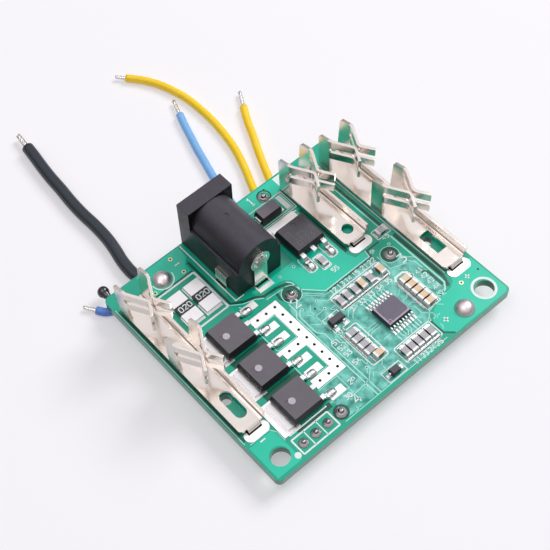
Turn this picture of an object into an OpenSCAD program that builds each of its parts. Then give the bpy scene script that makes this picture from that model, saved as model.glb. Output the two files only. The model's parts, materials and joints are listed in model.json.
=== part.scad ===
// Battery management board for a five-cell tool pack: a green circuit board with
// three folded blade terminals, a barrel charging jack, power switches, sense
// resistors, a controller with its chip parts, and the cell leads that hang from it.
//
// The board stands level on the tails under it. X runs along its width and Y along
// its depth, from the mounting-hole edge at the front to the jack edge at the back.
// The connectors and the holes keep their distance from the board's edges. The
// other parts sit on a placement grid that follows the board's width and depth.

/* [Board] */
// Width of the board, along X
board_w = 51.2; // [50.8:0.1:56]
// Depth of the board, along Y
board_d = 44; // [43.8:0.1:50]
// Thickness of the board
board_t = 1.6; // [1:0.1:2.4]
// Radius of the board's corners
board_corner_r = 1; // [0.4:0.1:2]
// Height of the board's underside over the surface it stands on
tail_drop = 2.5; // [2.5:0.1:4]
// Thickness of the tinned copper lands
copper_t = 0.1; // [0.04:0.01:0.15]
// Diameter of the two mounting holes
mount_hole_d = 3.4; // [2.6:0.1:3.8]
// Distance of a mounting hole's centre from its side edge
mount_inset_x = 3.1; // [2.6:0.1:3.4]
// Distance of the mounting holes' centres from the front edge
mount_inset_y = 2.9; // [2.4:0.1:3.6]
// Diameter of the plated vias
via_d = 0.5; // [0.3:0.05:0.7]

/* [Blade terminals] */
// Thickness of the spring sheet
sheet_t = 0.5; // [0.3:0.05:0.6]
// Width of a terminal over its folded wall
terminal_w = 4.9; // [4.6:0.1:5.2]
// Distance of an outer terminal's middle from its side edge of the board
terminal_inset = 3.2; // [3:0.05:3.4]
// Distance of the outer terminals' front from the front edge
terminal_front = 9.6; // [9:0.1:10.2]
// Distance of the outer terminals' rear from the back edge
terminal_back = 4; // [3.4:0.1:5]
// Distance between the two contact pairs of an outer terminal
pair_pitch = 12.9; // [12:0.1:13.5]
// Distance of the charge terminal's rear from the back edge
charge_back = 3.2; // [2.8:0.1:4]
// Gap under a terminal's base
terminal_lift = 0.6; // [0.3:0.05:1]
// Height of the folded side wall over the base
wall_h = 1.6; // [1:0.1:2.2]
// Height of the contact leaves over the board
leaf_top = 9.4; // [8.8:0.1:10.4]
// Length of the upright panel that carries a pair of fingers
panel_len = 2.7; // [2.2:0.1:2.9]
// How far a panel leans out at its top
panel_splay = 0.3; // [0:0.05:0.4]
// How far a panel's top edge falls towards its rear
panel_slope = 0.4; // [0.2:0.1:1.4]
// Radius of the corner at a panel's rear
panel_corner_r = 0.6; // [0.2:0.1:1]
// Radius of the relief where the slit between two fingers ends
relief_r = 0.3; // [0.1:0.05:0.4]
// Radius of the sweep from a panel down to the side wall
panel_sweep = 1.8; // [1:0.1:2]
// Length of a finger from its panel to the contact line
finger_reach = 3.8; // [3.4:0.1:4.4]
// Height of one finger
finger_h = 1.6; // [1.2:0.1:1.8]
// Slit between the upper and the lower finger
finger_slit = 1.1; // [0.6:0.1:1.3]
// Gap between opposing fingers at the contact line
contact_gap = 0.2; // [0.1:0.05:0.6]
// Length of the flared lead-in past the contact line
flare_len = 2.6; // [2:0.1:3]
// How far the lead-in flares out
flare_out = 1.5; // [1:0.1:1.7]
// Width of the solder tabs at the ends of a terminal
tab_w = 2.4; // [1.8:0.1:2.8]
// Radius of the corners at the ends of a terminal's base
base_corner_r = 0.8; // [0.4:0.1:1]
// Width of the windows in the terminal bases
window_w = 2.1; // [1.6:0.1:2.4]
// Length of the round-ended window of the negative terminal
slot_window_len = 5.6; // [4.6:0.1:6]
// Length of the square-cornered window of the positive terminal
square_window_len = 4.5; // [3.6:0.1:5]
// Distance of each window's far end from the front of its terminal
window_end = 7.5; // [7:0.1:8]
// Distance of the charge terminal's round window from its front
round_window_at = 2.4; // [2:0.1:3]

/* [Charging jack] */
// Width of the jack housing
jack_w = 9.4; // [9:0.1:9.8]
// Height of the jack's front flange
jack_h = 11; // [10.6:0.1:12]
// Length of the jack housing
jack_len = 14.9; // [14.4:0.1:15.4]
// Length of the flange round the socket's mouth
flange_len = 3; // [2:0.1:3.6]
// Height of the socket's axis over the board
jack_axis_h = 6.5; // [6:0.1:6.8]
// Radius of the round barrel on top of the housing
barrel_r = 4.3; // [4:0.05:4.4]
// Diameter of the plug socket
socket_d = 6.4; // [5.8:0.1:6.8]
// Depth of the plug socket
socket_depth = 10; // [9:0.1:11]
// Diameter of the centre pin
centre_pin_d = 2; // [1.6:0.05:2.5]
// How far the pin's tip stays behind the mouth
pin_recess = 1; // [0.6:0.1:2]
// Thickness of the jack's contact strips
strip_t = 0.4; // [0.3:0.05:0.5]
// Width of the jack's contact strips
strip_w = 2.8; // [2.4:0.1:3]

/* [Power switches] */
// Width and length of a power switch case
fet_w = 6.1; // [5.8:0.1:6.4]
// Height of a power switch case
fet_h = 2.3; // [2:0.1:2.6]
// Distance between the outer leads of a power switch
fet_lead_span = 4.6; // [4.4:0.1:4.8]
// Reach of the leads past the case
fet_lead_reach = 2.8; // [2.4:0.1:3]
// Width of the drain tab
fet_tab_w = 5.3; // [4.6:0.1:5.6]
// Reach of the drain tab past the case
fet_tab_reach = 1.1; // [0.8:0.1:1.3]
// Thickness of the leads and the tab
fet_lead_t = 0.5; // [0.4:0.05:0.6]

/* [Sense resistors and diode] */
// Length of a sense resistor, along Y
shunt_len = 6.4; // [6:0.1:6.8]
// Width of a sense resistor
shunt_w = 3.1; // [2.8:0.1:3.2]
// Height of a sense resistor
shunt_h = 0.8; // [0.6:0.05:1]
// Length of each soldering cap of a sense resistor
shunt_cap = 2.3; // [1.8:0.1:2.5]
// Gap between the two sense resistors
shunt_gap = 0.65; // [0.3:0.05:0.9]
// Length of the diode case, along X
diode_len = 4.3; // [4:0.1:4.6]
// Width of the diode case
diode_w = 2.5; // [2.3:0.1:2.8]
// Height of the diode case
diode_h = 2.1; // [1.8:0.1:2.4]

/* [Controller and chip parts] */
// Length of the controller's case, along X
controller_len = 5; // [4.8:0.1:5.2]
// Width of the controller's case, along Y
controller_w = 4.4; // [4.2:0.1:4.5]
// Height of the controller's case
controller_h = 1; // [0.8:0.05:1.2]
// Pitch of the controller's pins
pin_pitch = 0.65; // [0.6:0.01:0.66]
// Pins on each side of the controller
pins_a_side = 8; // [4:1:8]
// Length of a chip part
chip_len = 2; // [1.8:0.05:2.2]
// Width of a chip part
chip_w = 1.1; // [0.9:0.05:1.2]
// Height of a chip resistor
resistor_h = 0.55; // [0.4:0.05:0.7]
// Height of a chip capacitor
capacitor_h = 0.95; // [0.7:0.05:1.1]
// Length of the metal ends of a chip part
chip_end = 0.4; // [0.3:0.05:0.5]

/* [Solder joints and leads] */
// Radius of the two pack lead joints
main_joint_r = 1.75; // [1.5:0.05:1.9]
// Radius of the cell tap joints
tap_joint_r = 1; // [0.9:0.05:1.1]
// Radius of the three small header joints
header_joint_r = 0.8; // [0.6:0.05:0.9]
// Pitch of the header joints
header_pitch = 2.54; // [2.3:0.01:2.6]
// Diameter of the black pack lead
main_lead_d = 2.3; // [1.8:0.1:2.4]
// Diameter of a cell tap lead
tap_lead_d = 1.5; // [1.2:0.1:1.6]
// Length of the bare end of each lead
bare_end = 3.6; // [2.5:0.1:5]
// Diameter of the thermistor bead
bead_d = 2.1; // [1.8:0.1:2.4]
// Distance of the bead's middle past the back edge
bead_out = 2.4; // [2:0.1:3]
// Distance of the bead's middle from the left edge
bead_x = 1.6; // [1.4:0.1:2]

/* [Hidden] */
$fn = 32;

board_green = "#159a6c";
tin = "#d9d6d2";
nickel = "#e6dbd0";
moulding_black = "#2a292f";
case_grey = "#55525a";

// Running gap of a tab in its slot, and the play round pieces that pass others
slot_gap = 0.2;
board_top = tail_drop + board_t;
land_top = board_top + copper_t;
bead_r = bead_d / 2;
origin_x = board_w / 2;
origin_y = (board_d + bead_out + bead_r) / 2;

// Placement grid: 64 steps across the board and 55 steps along its depth
grid_x = board_w / 64;
grid_y = board_d / 55;
jack_x = 27.4 * grid_x;
fet_x = 13.75 * grid_x;
fet_ys = [for (row = [10.1, 19.85, 29.6]) row * grid_y];
charge_fet_x = 40.5 * grid_x;
charge_fet_y = 38.4 * grid_y;
shunt_x = 11.25 * grid_x;
shunt_y = 41.5 * grid_y;
diode_x = 39.75 * grid_x;
diode_y = 47.6 * grid_y;
controller_x = 42 * grid_x;
controller_y = 12.5 * grid_y;
transistor_x = 32.4 * grid_x;
transistor_y = 18.55 * grid_y;
signal_diode_x = 32.9 * grid_x;
signal_diode_y = 2.4 * grid_y;

// Outer terminals and the charge terminal, by their middles, fronts and lengths
negative_x = terminal_inset;
positive_x = board_w - terminal_inset;
charge_x = 49.25 * grid_x;
terminal_len = board_d - terminal_front - terminal_back;
charge_front = 30 * grid_y;
charge_len = board_d - charge_front - charge_back;
base_z = terminal_lift + sheet_t / 2;
base_top = terminal_lift + sheet_t;
wall_top = base_top + wall_h;
leaf_x = terminal_w / 2 - sheet_t / 2;
contact_x = (contact_gap + sheet_t) / 2;
tab_y = sheet_t / 2;
bend_r = sheet_t;
tab_fold = 2 * sheet_t;

// The jack's back face lies flush with the board's back edge
jack_rear = board_d - jack_len;
jack_front = board_d;
foot_step = 0.1;
rear_tail_y = jack_rear - strip_t - foot_step;
side_tail_y = jack_rear + 0.27 * jack_len;
spring_tail_y = jack_rear + 0.48 * jack_len;
side_tail_x = jack_x - jack_w / 2;
tail_w = strip_w * 0.77;

// Every flat tail that passes through the board: middle x, middle y, width and depth
tails = [
    [negative_x, terminal_front - tab_y, tab_w, sheet_t],
    [negative_x, terminal_front + terminal_len + tab_y, tab_w, sheet_t],
    [positive_x, terminal_front - tab_y, tab_w, sheet_t],
    [positive_x, terminal_front + terminal_len + tab_y, tab_w, sheet_t],
    [charge_x, charge_front - tab_y, tab_w, sheet_t],
    [charge_x, charge_front + charge_len + tab_y, tab_w, sheet_t],
    [jack_x, rear_tail_y + strip_t / 2, tail_w, strip_t],
    [side_tail_x - strip_t / 2, side_tail_y, strip_t, tail_w],
    [jack_x, spring_tail_y, tail_w, strip_t]
];

// The comb of bare copper that joins the source leads of the switch column
fet_half = fet_w / 2;
comb_ys = [for (row = [10.8, 19.8, 29.45]) row * grid_y];
comb_spine_x = 25.4 * grid_x;
comb_w = 1.9;
comb_start_x = fet_x + fet_half + 1.2;
switch_lead_w = 0.8;
land_ring = 1.25;

// Pack lead joints, cell tap joints and header joints, by their places on the board
negative_joint = [12.5 * grid_x, board_d - 2 * main_joint_r];
positive_joint = [53.75 * grid_x, 1.5 * main_joint_r];
header_x = 9.125 * grid_x;
header_y = 3 * header_joint_r;
tap_1 = [42.25 * grid_x, board_d - 2.4 * tap_joint_r];
tap_2 = [30 * grid_x, jack_rear - 7 * grid_y];
tap_3 = [51.9 * grid_x, 22.75 * grid_y];
tap_4 = [header_x + 2 * header_pitch + 2.8 * tap_joint_r, header_y];
core_d_ratio = 0.55;

// Rows of chip parts round the controller, in grid steps. Each place has a turn:
// a part's long side lies along X at no turn.
upper_row = 21.3 * grid_y;
lower_row = 4.1 * grid_y;
left_column = 32.7 * grid_x;
right_column = 49.55 * grid_x;
resistor_places = concat(
    [for (step = [36.25, 38.2, 40.3, 44.6]) [step * grid_x, upper_row, 90]],
    [for (step = [14.25, 12.5, 10.75, 9]) [left_column, step * grid_y, 0]],
    [for (step = [37.6, 39.35, 41.1, 42.85, 44.6]) [step * grid_x, lower_row, 90]],
    [
        [(charge_x + positive_x) / 2, charge_front - 1.75 * grid_y, 0],
        [charge_fet_x - 0.25 * grid_x, charge_fet_y - fet_half - 3.45 * grid_y, 90]
    ]
);
capacitor_places = concat(
    [for (step = [42.2, 47.5]) [step * grid_x, upper_row, 90]],
    [for (step = [16, 14.25, 12.5, 10.75, 9]) [right_column, step * grid_y, 0]],
    [[33.4 * grid_x, 7.25 * grid_y, 0]]
);

// Cell leads, as points along the middle of each lead from its joint to its cut end,
// in the part's own frame. The surface the part stands on is z = 0.
black_route = [
    [-16.4, 18.9, 1.3], [-16.7, 19.8, 1.28], [-17.2, 21.4, 1.22], [-17.6, 23, 1.18], [-17.4, 26, 1.15],
    [-16.8, 29, 1.15], [-16.4, 32, 1.15], [-16.3, 35.5, 1.15], [-16.4, 39, 1.15], [-16.3, 42.5, 1.15],
    [-16, 46, 1.15], [-15.8, 49.5, 1.15], [-15.5, 52.5, 1.15], [-15.1, 55.5, 1.15], [-14.8, 58.2, 1.15]
];
yellow_route_1 = [
    [8.9, 20.6, 1.5], [9.3, 21.6, 1.4], [10.1, 23.4, 1.1], [11.3, 26, 0.8], [12.5, 29, 0.75],
    [13.6, 32.5, 0.75], [14.3, 36, 0.75], [14.8, 40, 0.75], [14.9, 44, 0.75], [14.7, 47.5, 0.75],
    [14, 50.8, 0.75], [13.1, 53.6, 0.75], [11.9, 56, 0.75], [10.7, 57.8, 0.75], [9.5, 59.3, 0.75]
];
light_blue_route = [
    [0.2, 0.9, 1.5], [1.1, 1.8, 1.4], [2.2, 3.4, 1.2], [3.1, 6, 0.9], [3.6, 9.5, 0.75],
    [3.9, 13.5, 0.75], [4.2, 17.5, 0.75], [4.7, 21.5, 0.75], [5.4, 25.5, 0.75], [6.3, 29.5, 0.75],
    [7.3, 33, 0.75], [8.3, 36.5, 0.75], [9.3, 39.5, 0.75], [10.2, 42.3, 0.75], [11.2, 45, 0.75]
];
yellow_route_2 = [
    [14.2, -4, 1.5], [13.3, -3.1, 1.4], [12, -1.3, 1.2], [11, 1.5, 0.9], [10.6, 5, 0.75],
    [10.5, 9, 0.75], [10.6, 13, 0.75], [11.1, 16.5, 0.75], [12.2, 19.6, 0.75], [13.4, 22.2, 0.75],
    [14.8, 25.4, 0.75], [16.4, 28.8, 0.75], [18, 32, 0.75], [19.5, 35.2, 0.75], [21.2, 38.2, 0.75]
];
blue_route = [
    [-10.6, -19.4, 1.5], [-10.8, -18, 1.4], [-11.2, -15, 1.1], [-11.9, -11, 0.8], [-12.9, -7, 0.75],
    [-14.2, -3, 0.75], [-15.6, 1, 0.75], [-16.9, 5, 0.75], [-18, 9, 0.75], [-18.8, 12.5, 0.75],
    [-19.3, 15, 0.75], [-20.1, 17, 0.75], [-21.9, 18.6, 0.75], [-24.1, 19.2, 0.75],
    [-25.7, 20, 0.75], [-26.7, 21.4, 0.75]
];

function unit(v) = v / norm(v);
function side_of(a, b) = let (d = unit(b - a)) [-d[1], d[0]];

// Offset of a thin strip's edge at point i of its middle line, mitred at corners
function edge_step(path, i) =
    let (last = len(path) - 1)
    let (before = side_of(path[max(i - 1, 0)], path[max(i, 1)]))
    let (after = side_of(path[min(i, last - 1)], path[min(i + 1, last)]))
    (before + after) / (1 + before * after);

// Outline of a strip of thickness t along an open path
function strip_outline(path, t) =
    let (steps = [for (i = [0:len(path) - 1]) edge_step(path, i) * t / 2])
    concat(
        [for (i = [0:len(path) - 1]) path[i] + steps[i]],
        [for (i = [len(path) - 1:-1:0]) path[i] - steps[i]]
    );

// Points of the arc that rounds corner b between a and c
function corner_arc(a, b, c, r, count) =
    let (u = unit(a - b), v = unit(c - b), half = acos(u * v) / 2)
    let (centre = b + unit(u + v) * r / sin(half))
    let (from = b + u * r / tan(half) - centre, to = b + v * r / tan(half) - centre)
    let (start = atan2(from[1], from[0]), turn = atan2(to[1], to[0]) - start)
    let (sweep = turn > 180 ? turn - 360 : turn < -180 ? turn + 360 : turn)
    [for (k = [0:count]) centre + r * [cos(start + sweep * k / count), sin(start + sweep * k / count)]];

function rounded(path, r, count = 4) = concat(
    [path[0]],
    [for (i = [1:len(path) - 2]) each corner_arc(path[i - 1], path[i], path[i + 1], r, count)],
    [path[len(path) - 1]]
);

// A folded strip: its side view is a rounded path in X and Z, and it is w wide along Y
module folded_strip(path, t, w, r) {
    rotate([90, 0, 0])
        linear_extrude(height = w, center = true)
            polygon(strip_outline(rounded(path, r), t));
}

// A strip that is bent in plan, with upright sides, h high
module upright_strip(path, t, h, r) {
    linear_extrude(height = h)
        polygon(strip_outline(rounded(path, r, 6), t));
}

// A block that narrows on all four sides from its foot to its top
module drafted_block(w, d, h, inset) {
    moulded_block(w, d, h, inset, 0, 0);
}

// A moulded block, widest at its parting line and drafted above and below it
module moulded_block(w, d, h, top_inset, foot_inset, parting) {
    intersection() {
        rotate([90, 0, 0])
            linear_extrude(height = d, center = true)
                moulded_profile(w, h, top_inset, foot_inset, parting);
        rotate([90, 0, 90])
            linear_extrude(height = w, center = true)
                moulded_profile(d, h, top_inset, foot_inset, parting);
    }
}

module moulded_profile(w, h, top_inset, foot_inset, parting) {
    foot = foot_inset > 0
        ? [[-w / 2, parting], [-w / 2 + foot_inset, 0], [w / 2 - foot_inset, 0], [w / 2, parting]]
        : [[-w / 2, 0], [w / 2, 0]];
    polygon(concat(foot, [[w / 2 - top_inset, h], [-w / 2 + top_inset, h]]));
}

// A rectangle about the middle with rounded corners
module rounded_rect(w, d, r) {
    hull()
        for (x = [-1, 1] * (w / 2 - r), y = [-1, 1] * (d / 2 - min(r, d / 2 - 0.01)))
            translate([x, y])
                circle(r = min(r, d / 2 - 0.01));
}

// Stands its children at a place on the board, at height z over the rest plane
module at_place(x, y, z = board_top, turn = 0) {
    translate([x - origin_x, y - origin_y, z])
        rotate([0, 0, turn])
            children();
}

module box_at(x, y, w, d, h) {
    translate([x - w / 2, y - d / 2, 0])
        cube([w, d, h]);
}

// ---- Board and copper ----

module board_outline() {
    r = board_corner_r;
    hull()
        for (x = [r, board_w - r], y = [r, board_d - r])
            translate([x, y])
                circle(r = r);
}

// Slots for the flat tails, each with its running gap
module tail_slots() {
    for (t = tails)
        translate([0, 0, -1])
            box_at(t[0], t[1], t[2] + 2 * slot_gap, t[3] + 2 * slot_gap, board_t + 2);
}

module round_bores(places, d) {
    for (p = places)
        translate([p[0], p[1], -1])
            cylinder(h = board_t + 2, d = d);
}

mount_places = [[mount_inset_x, mount_inset_y], [board_w - mount_inset_x, mount_inset_y]];
comb_vias = concat(
    [for (k = [0:1], i = [0:3]) [comb_spine_x, comb_ys[k] + i * (comb_ys[k + 1] - comb_ys[k]) / 4]],
    [[comb_spine_x, comb_ys[2]]],
    [for (y = comb_ys, x = [comb_spine_x - 2 * comb_w, comb_spine_x - comb_w]) [x, y]]
);
loose_vias = [
    [13.6, board_d - 1.3], [13.7, board_d - 4.8], [7.4, board_d - 4.9],
    [board_w - 5, 6.4], [board_w - 1.2, 6.4]
];
probe_holes = [
    [negative_x, terminal_front + window_end - window_w / 2],
    [positive_x, terminal_front + window_end - window_w / 2]
];
header_places = [for (i = [0:2]) [header_x + i * header_pitch, header_y]];
main_joints = [negative_joint, positive_joint];
tap_joints = [tap_1, tap_2, tap_3, tap_4];
joint_bore_ratio = 0.6;
dome_rise = 0.72;
lump_drop = 1.2;

module circuit_board() {
    color(board_green)
        at_place(0, 0, tail_drop)
            difference() {
                linear_extrude(height = board_t)
                    board_outline();
                round_bores(mount_places, mount_hole_d);
                round_bores(probe_holes, window_w - 0.2);
                round_bores(concat(comb_vias, loose_vias), via_d);
                round_bores(main_joints, 2 * main_joint_r * joint_bore_ratio);
                round_bores(tap_joints, 2 * tap_joint_r * joint_bore_ratio);
                round_bores(header_places, 2 * header_joint_r * joint_bore_ratio);
                tail_slots();
            }
}

// Tinned land round a terminal's front slot, open towards the terminal
module slot_land(x, y) {
    difference() {
        translate([x, y - land_ring / 2, 0])
            linear_extrude(height = copper_t)
                rounded_rect(tab_w + 2 * land_ring, sheet_t + 1.4 * land_ring, land_ring);
        translate([0, 0, -1])
            box_at(x, y + slot_gap, tab_w + 2 * slot_gap, sheet_t + 4 * slot_gap, copper_t + 2);
    }
}

// The comb: a spine with one arm to the middle of each switch
module comb_land() {
    spine_len = comb_ys[2] - comb_ys[0] + comb_w;
    difference() {
        union() {
            box_at(comb_spine_x, (comb_ys[0] + comb_ys[2]) / 2, comb_w, spine_len, copper_t);
            for (y = comb_ys)
                translate([comb_start_x, y - comb_w / 2, 0])
                    cube([comb_spine_x - comb_start_x, comb_w, copper_t]);
        }
        for (v = comb_vias)
            translate([v[0], v[1], -1])
                cylinder(h = copper_t + 2, d = via_d);
    }
}

// Lands of one power switch whose leads point along +X. The lead lands are as long
// and as far out to the sides as given.
module switch_lands(lead_land_len, lead_land_out) {
    box_at(-fet_half - fet_tab_reach / 2 - 0.1, 0, fet_tab_reach + 2.2, fet_tab_w + 1.2, copper_t);
    for (s = [-1, 1])
        box_at(fet_half + fet_lead_reach + lead_land_len / 2 - 1.3,
            s * (fet_lead_span / 2 + lead_land_out), lead_land_len, switch_lead_w + 0.6, copper_t);
}

module chip_lands(p) {
    translate([p[0], p[1], 0])
        rotate([0, 0, p[2]])
            for (s = [-1, 1])
                box_at(s * (chip_len / 2 - 0.1), 0, 0.9, chip_w + 0.1, copper_t);
}

// Wetted land at the foot of the jack's rear contact
module rear_tail_land() {
    difference() {
        box_at(jack_x, jack_rear - 1, strip_w + 0.3, 1.9, copper_t);
        translate([0, 0, -1])
            box_at(jack_x, rear_tail_y, tail_w + 2 * slot_gap, 2 * strip_t + 2 * slot_gap, 3);
    }
}

module solder_lands() {
    color(tin)
        at_place(0, 0) {
            slot_land(negative_x, terminal_front - tab_y);
            slot_land(positive_x, terminal_front - tab_y);
            slot_land(charge_x, charge_front - tab_y);
            comb_land();
            for (y = fet_ys)
                translate([fet_x, y, 0])
                    switch_lands(3, 0.35);
            translate([charge_fet_x, charge_fet_y, 0])
                rotate([0, 0, -90])
                    switch_lands(1.7, 0);
            for (i = [0:1], s = [-1, 1])
                box_at(shunt_x + i * (shunt_w + shunt_gap), shunt_y + s * (shunt_len - shunt_cap) / 2,
                    shunt_w + 0.2, shunt_cap + 0.5, copper_t);
            for (s = [-1, 1])
                box_at(diode_x + s * (diode_len / 2 - 0.2), diode_y, 2, 1.8, copper_t);
            for (p = concat(resistor_places, capacitor_places))
                chip_lands(p);
            for (i = [0:pins_a_side - 1], s = [-1, 1])
                box_at(controller_x + (i - (pins_a_side - 1) / 2) * pin_pitch,
                    controller_y + s * (controller_w / 2 + 0.8), 0.36, 1, copper_t);
            for (x = [-1, 1] * transistor_pin_x)
                box_at(transistor_x + x, transistor_y - 1.1, 0.8, 0.9, copper_t);
            box_at(transistor_x, transistor_y + 1.1, 0.8, 0.9, copper_t);
            for (s = [-1, 1])
                box_at(signal_diode_x + s * 1.25, signal_diode_y, 0.8, 0.7, copper_t);
            rear_tail_land();
        }
}

// ---- Blade terminals ----

// Side view of a panel: its top edge falls to a rounded rear corner, and the slit
// between its fingers ends in a round relief
module panel_side_view() {
    difference() {
        hull() {
            translate([-panel_len / 2, 0])
                square([panel_len, leaf_top / 2]);
            translate([-panel_len / 2, 0])
                square([sheet_t, leaf_top]);
            translate([panel_len / 2 - panel_corner_r, leaf_top - panel_slope - panel_corner_r])
                circle(r = panel_corner_r);
        }
        translate([-panel_len / 2, leaf_top - finger_h - finger_slit / 2])
            circle(r = relief_r);
    }
}

// Upright panel on one side of the base, rising from its foot at foot_z. It leans out
// a little.
module leaf_panel(side, foot_z) {
    lean = [[side * leaf_x, foot_z], [side * (leaf_x + panel_splay), leaf_top]];
    intersection() {
        rotate([90, 0, 0])
            linear_extrude(height = panel_len, center = true)
                polygon(strip_outline(lean, sheet_t));
        rotate([90, 0, 90])
            linear_extrude(height = 2 * terminal_w, center = true)
                panel_side_view();
    }
}

// Swept corner between the front edge of a right-hand panel and the side wall
module wall_sweep() {
    translate([leaf_x, -panel_len / 2, wall_top])
        rotate([90, 0, 90])
            linear_extrude(height = sheet_t, center = true)
                difference() {
                    translate([-panel_sweep, -sheet_t])
                        square([panel_sweep + 0.1, panel_sweep + sheet_t]);
                    translate([-panel_sweep, panel_sweep])
                        circle(r = panel_sweep);
                }
}

// One finger: it leaves its panel, closes in to the contact line and flares out again
module finger(side) {
    root_x = leaf_x + panel_splay * 0.7;
    upright_strip([
        [side * root_x, finger_reach + 0.5],
        [side * root_x, finger_reach - 0.1],
        [side * contact_x, 0],
        [side * (contact_x + flare_out), -flare_len]
    ], sheet_t, finger_h, 0.9);
}

// Two opposing leaves, each with an upper and a lower finger, about the contact line
module contact_pair() {
    for (side = [-1, 1])
        for (level = [0:1])
            translate([0, 0, leaf_top - finger_h - level * (finger_h + finger_slit)])
                finger(side);
    translate([0, finger_reach + panel_len / 2, 0]) {
        leaf_panel(1, wall_top - sheet_t);
        leaf_panel(-1, base_z);
        wall_sweep();
        // The left panel turns up out of the base through a rounded fold
        folded_strip([[0, base_z], [-leaf_x, base_z], [-leaf_x, base_z + 2 * tab_fold]],
            sheet_t, panel_len, bend_r);
    }
}

// Solder tab at one end of the base, bent down through the board to the rest plane
module solder_tab() {
    rotate([0, 0, 90])
        folded_strip([[tab_fold, base_z], [-tab_y, base_z], [-tab_y, -board_top]],
            sheet_t, tab_w, bend_r);
}

// What the shears leave off one corner of the base, to round it
module corner_waste() {
    difference() {
        translate([-terminal_w, -terminal_w, -1])
            cube([terminal_w + base_corner_r, terminal_w + base_corner_r, wall_top + 2]);
        translate([base_corner_r, base_corner_r, -2])
            cylinder(h = wall_top + 4, r = base_corner_r);
    }
}

// A terminal folded from one sheet: base, side wall, tabs and its contact pairs
module blade_terminal(length, pairs) {
    last_contact = length - panel_len - finger_reach;
    difference() {
        translate([0, length / 2, 0])
            folded_strip([[-terminal_w / 2, base_z], [leaf_x, base_z], [leaf_x, wall_top]],
                sheet_t, length, bend_r);
        translate([-terminal_w / 2, 0, 0])
            corner_waste();
    }
    for (i = [0:pairs - 1])
        translate([0, last_contact - i * pair_pitch, 0])
            contact_pair();
    solder_tab();
    translate([0, length, 0])
        mirror([0, 1, 0])
            solder_tab();
}

module negative_terminal() {
    color(nickel)
        at_place(negative_x, terminal_front)
            difference() {
                blade_terminal(terminal_len, 2);
                // Round-ended window over the probe hole
                translate([0, window_end - slot_window_len / 2, 0]) {
                    box_at(0, 0, window_w, slot_window_len - window_w, base_top + 0.2);
                    for (s = [-1, 1])
                        translate([0, s * (slot_window_len - window_w) / 2, 0])
                            cylinder(h = base_top + 0.2, d = window_w);
                }
            }
}

module positive_terminal() {
    color(nickel)
        at_place(positive_x, terminal_front)
            difference() {
                blade_terminal(terminal_len, 2);
                translate([0, window_end - square_window_len / 2, 0])
                    box_at(0, 0, window_w, square_window_len, base_top + 0.2);
            }
}

module charge_terminal() {
    color(nickel)
        at_place(charge_x, charge_front)
            difference() {
                blade_terminal(charge_len, 1);
                translate([0, round_window_at, 0])
                    cylinder(h = base_top + 0.2, d = window_w);
            }
}

// ---- Charging jack ----

flange_z = jack_h;
pin_tip_y = jack_front - pin_recess;
socket_floor = jack_axis_h - socket_d / 2;
rivet_d = centre_pin_d + 0.9;

// A cylinder along the socket's axis, from y = near to y = far
module along_axis(near, far, d) {
    translate([jack_x, near, jack_axis_h])
        rotate([-90, 0, 0])
            cylinder(h = far - near, d = d);
}

module jack_housing() {
    slot_half = strip_w / 2 + slot_gap;
    color(moulding_black)
        at_place(0, 0)
            difference() {
                union() {
                    // Square base with a ledge on each side of the round barrel
                    translate([jack_x - jack_w / 2, jack_rear, 0])
                        cube([jack_w, jack_len, jack_axis_h]);
                    along_axis(jack_rear, jack_front, 2 * barrel_r);
                    translate([jack_x - jack_w / 2, jack_front - flange_len, 0])
                        cube([jack_w, flange_len, flange_z]);
                }
                along_axis(jack_front - socket_depth, jack_front + 1, socket_d);
                // Chamfered mouth
                translate([jack_x, jack_front + 0.01, jack_axis_h])
                    rotate([90, 0, 0])
                        cylinder(h = 0.6, d1 = socket_d + 1.2, d2 = socket_d);
                // Bore that holds the pin in the rear wall
                along_axis(jack_rear - 1, jack_front - socket_depth + 1, centre_pin_d);
                // Slot in the floor for the spring contact
                translate([jack_x - slot_half, spring_tail_y - 1.2, -1])
                    cube([2 * slot_half, jack_front - 1.5 - spring_tail_y, socket_floor + 1.5]);
                // Shallow seat for the side contact
                translate([side_tail_x - 1, side_tail_y - strip_w / 2, -1])
                    cube([1.2, strip_w, socket_floor + 1]);
                // Ejector mark on the barrel
                translate([jack_x, jack_rear + 7.8, jack_axis_h + barrel_r - 0.12])
                    cylinder(h = 1, d = 0.9);
            }
}

// Centre pin with a rounded tip, riveted over the rear contact
module jack_centre_pin() {
    tip_r = centre_pin_d / 2;
    color(tin)
        at_place(0, 0) {
            along_axis(jack_rear - strip_t, pin_tip_y - tip_r, centre_pin_d);
            translate([jack_x, pin_tip_y - tip_r, jack_axis_h])
                sphere(d = centre_pin_d);
            translate([jack_x, jack_rear - strip_t, jack_axis_h])
                rotate([90, 0, 0])
                    cylinder(h = 0.35, d1 = rivet_d, d2 = rivet_d - 0.8);
        }
}

// Flat strip behind the jack with a round head under the rivet, stepped at its foot
module jack_rear_contact() {
    head_r = strip_w / 2 + 0.6;
    neck_z = 0.9;
    color(nickel)
        at_place(0, 0)
            difference() {
                union() {
                    translate([jack_x, jack_rear, jack_axis_h])
                        rotate([90, 0, 0])
                            cylinder(h = strip_t, r = head_r);
                    translate([jack_x - strip_w / 2, jack_rear - strip_t, neck_z])
                        cube([strip_w, strip_t, jack_axis_h - neck_z]);
                    translate([jack_x - strip_w / 2, rear_tail_y, neck_z - strip_t])
                        cube([strip_w, jack_rear - rear_tail_y, strip_t]);
                    translate([jack_x - tail_w / 2, rear_tail_y, -board_top])
                        cube([tail_w, strip_t, board_top + neck_z]);
                }
                along_axis(jack_rear - 2, jack_rear + 1, centre_pin_d);
            }
}

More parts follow.
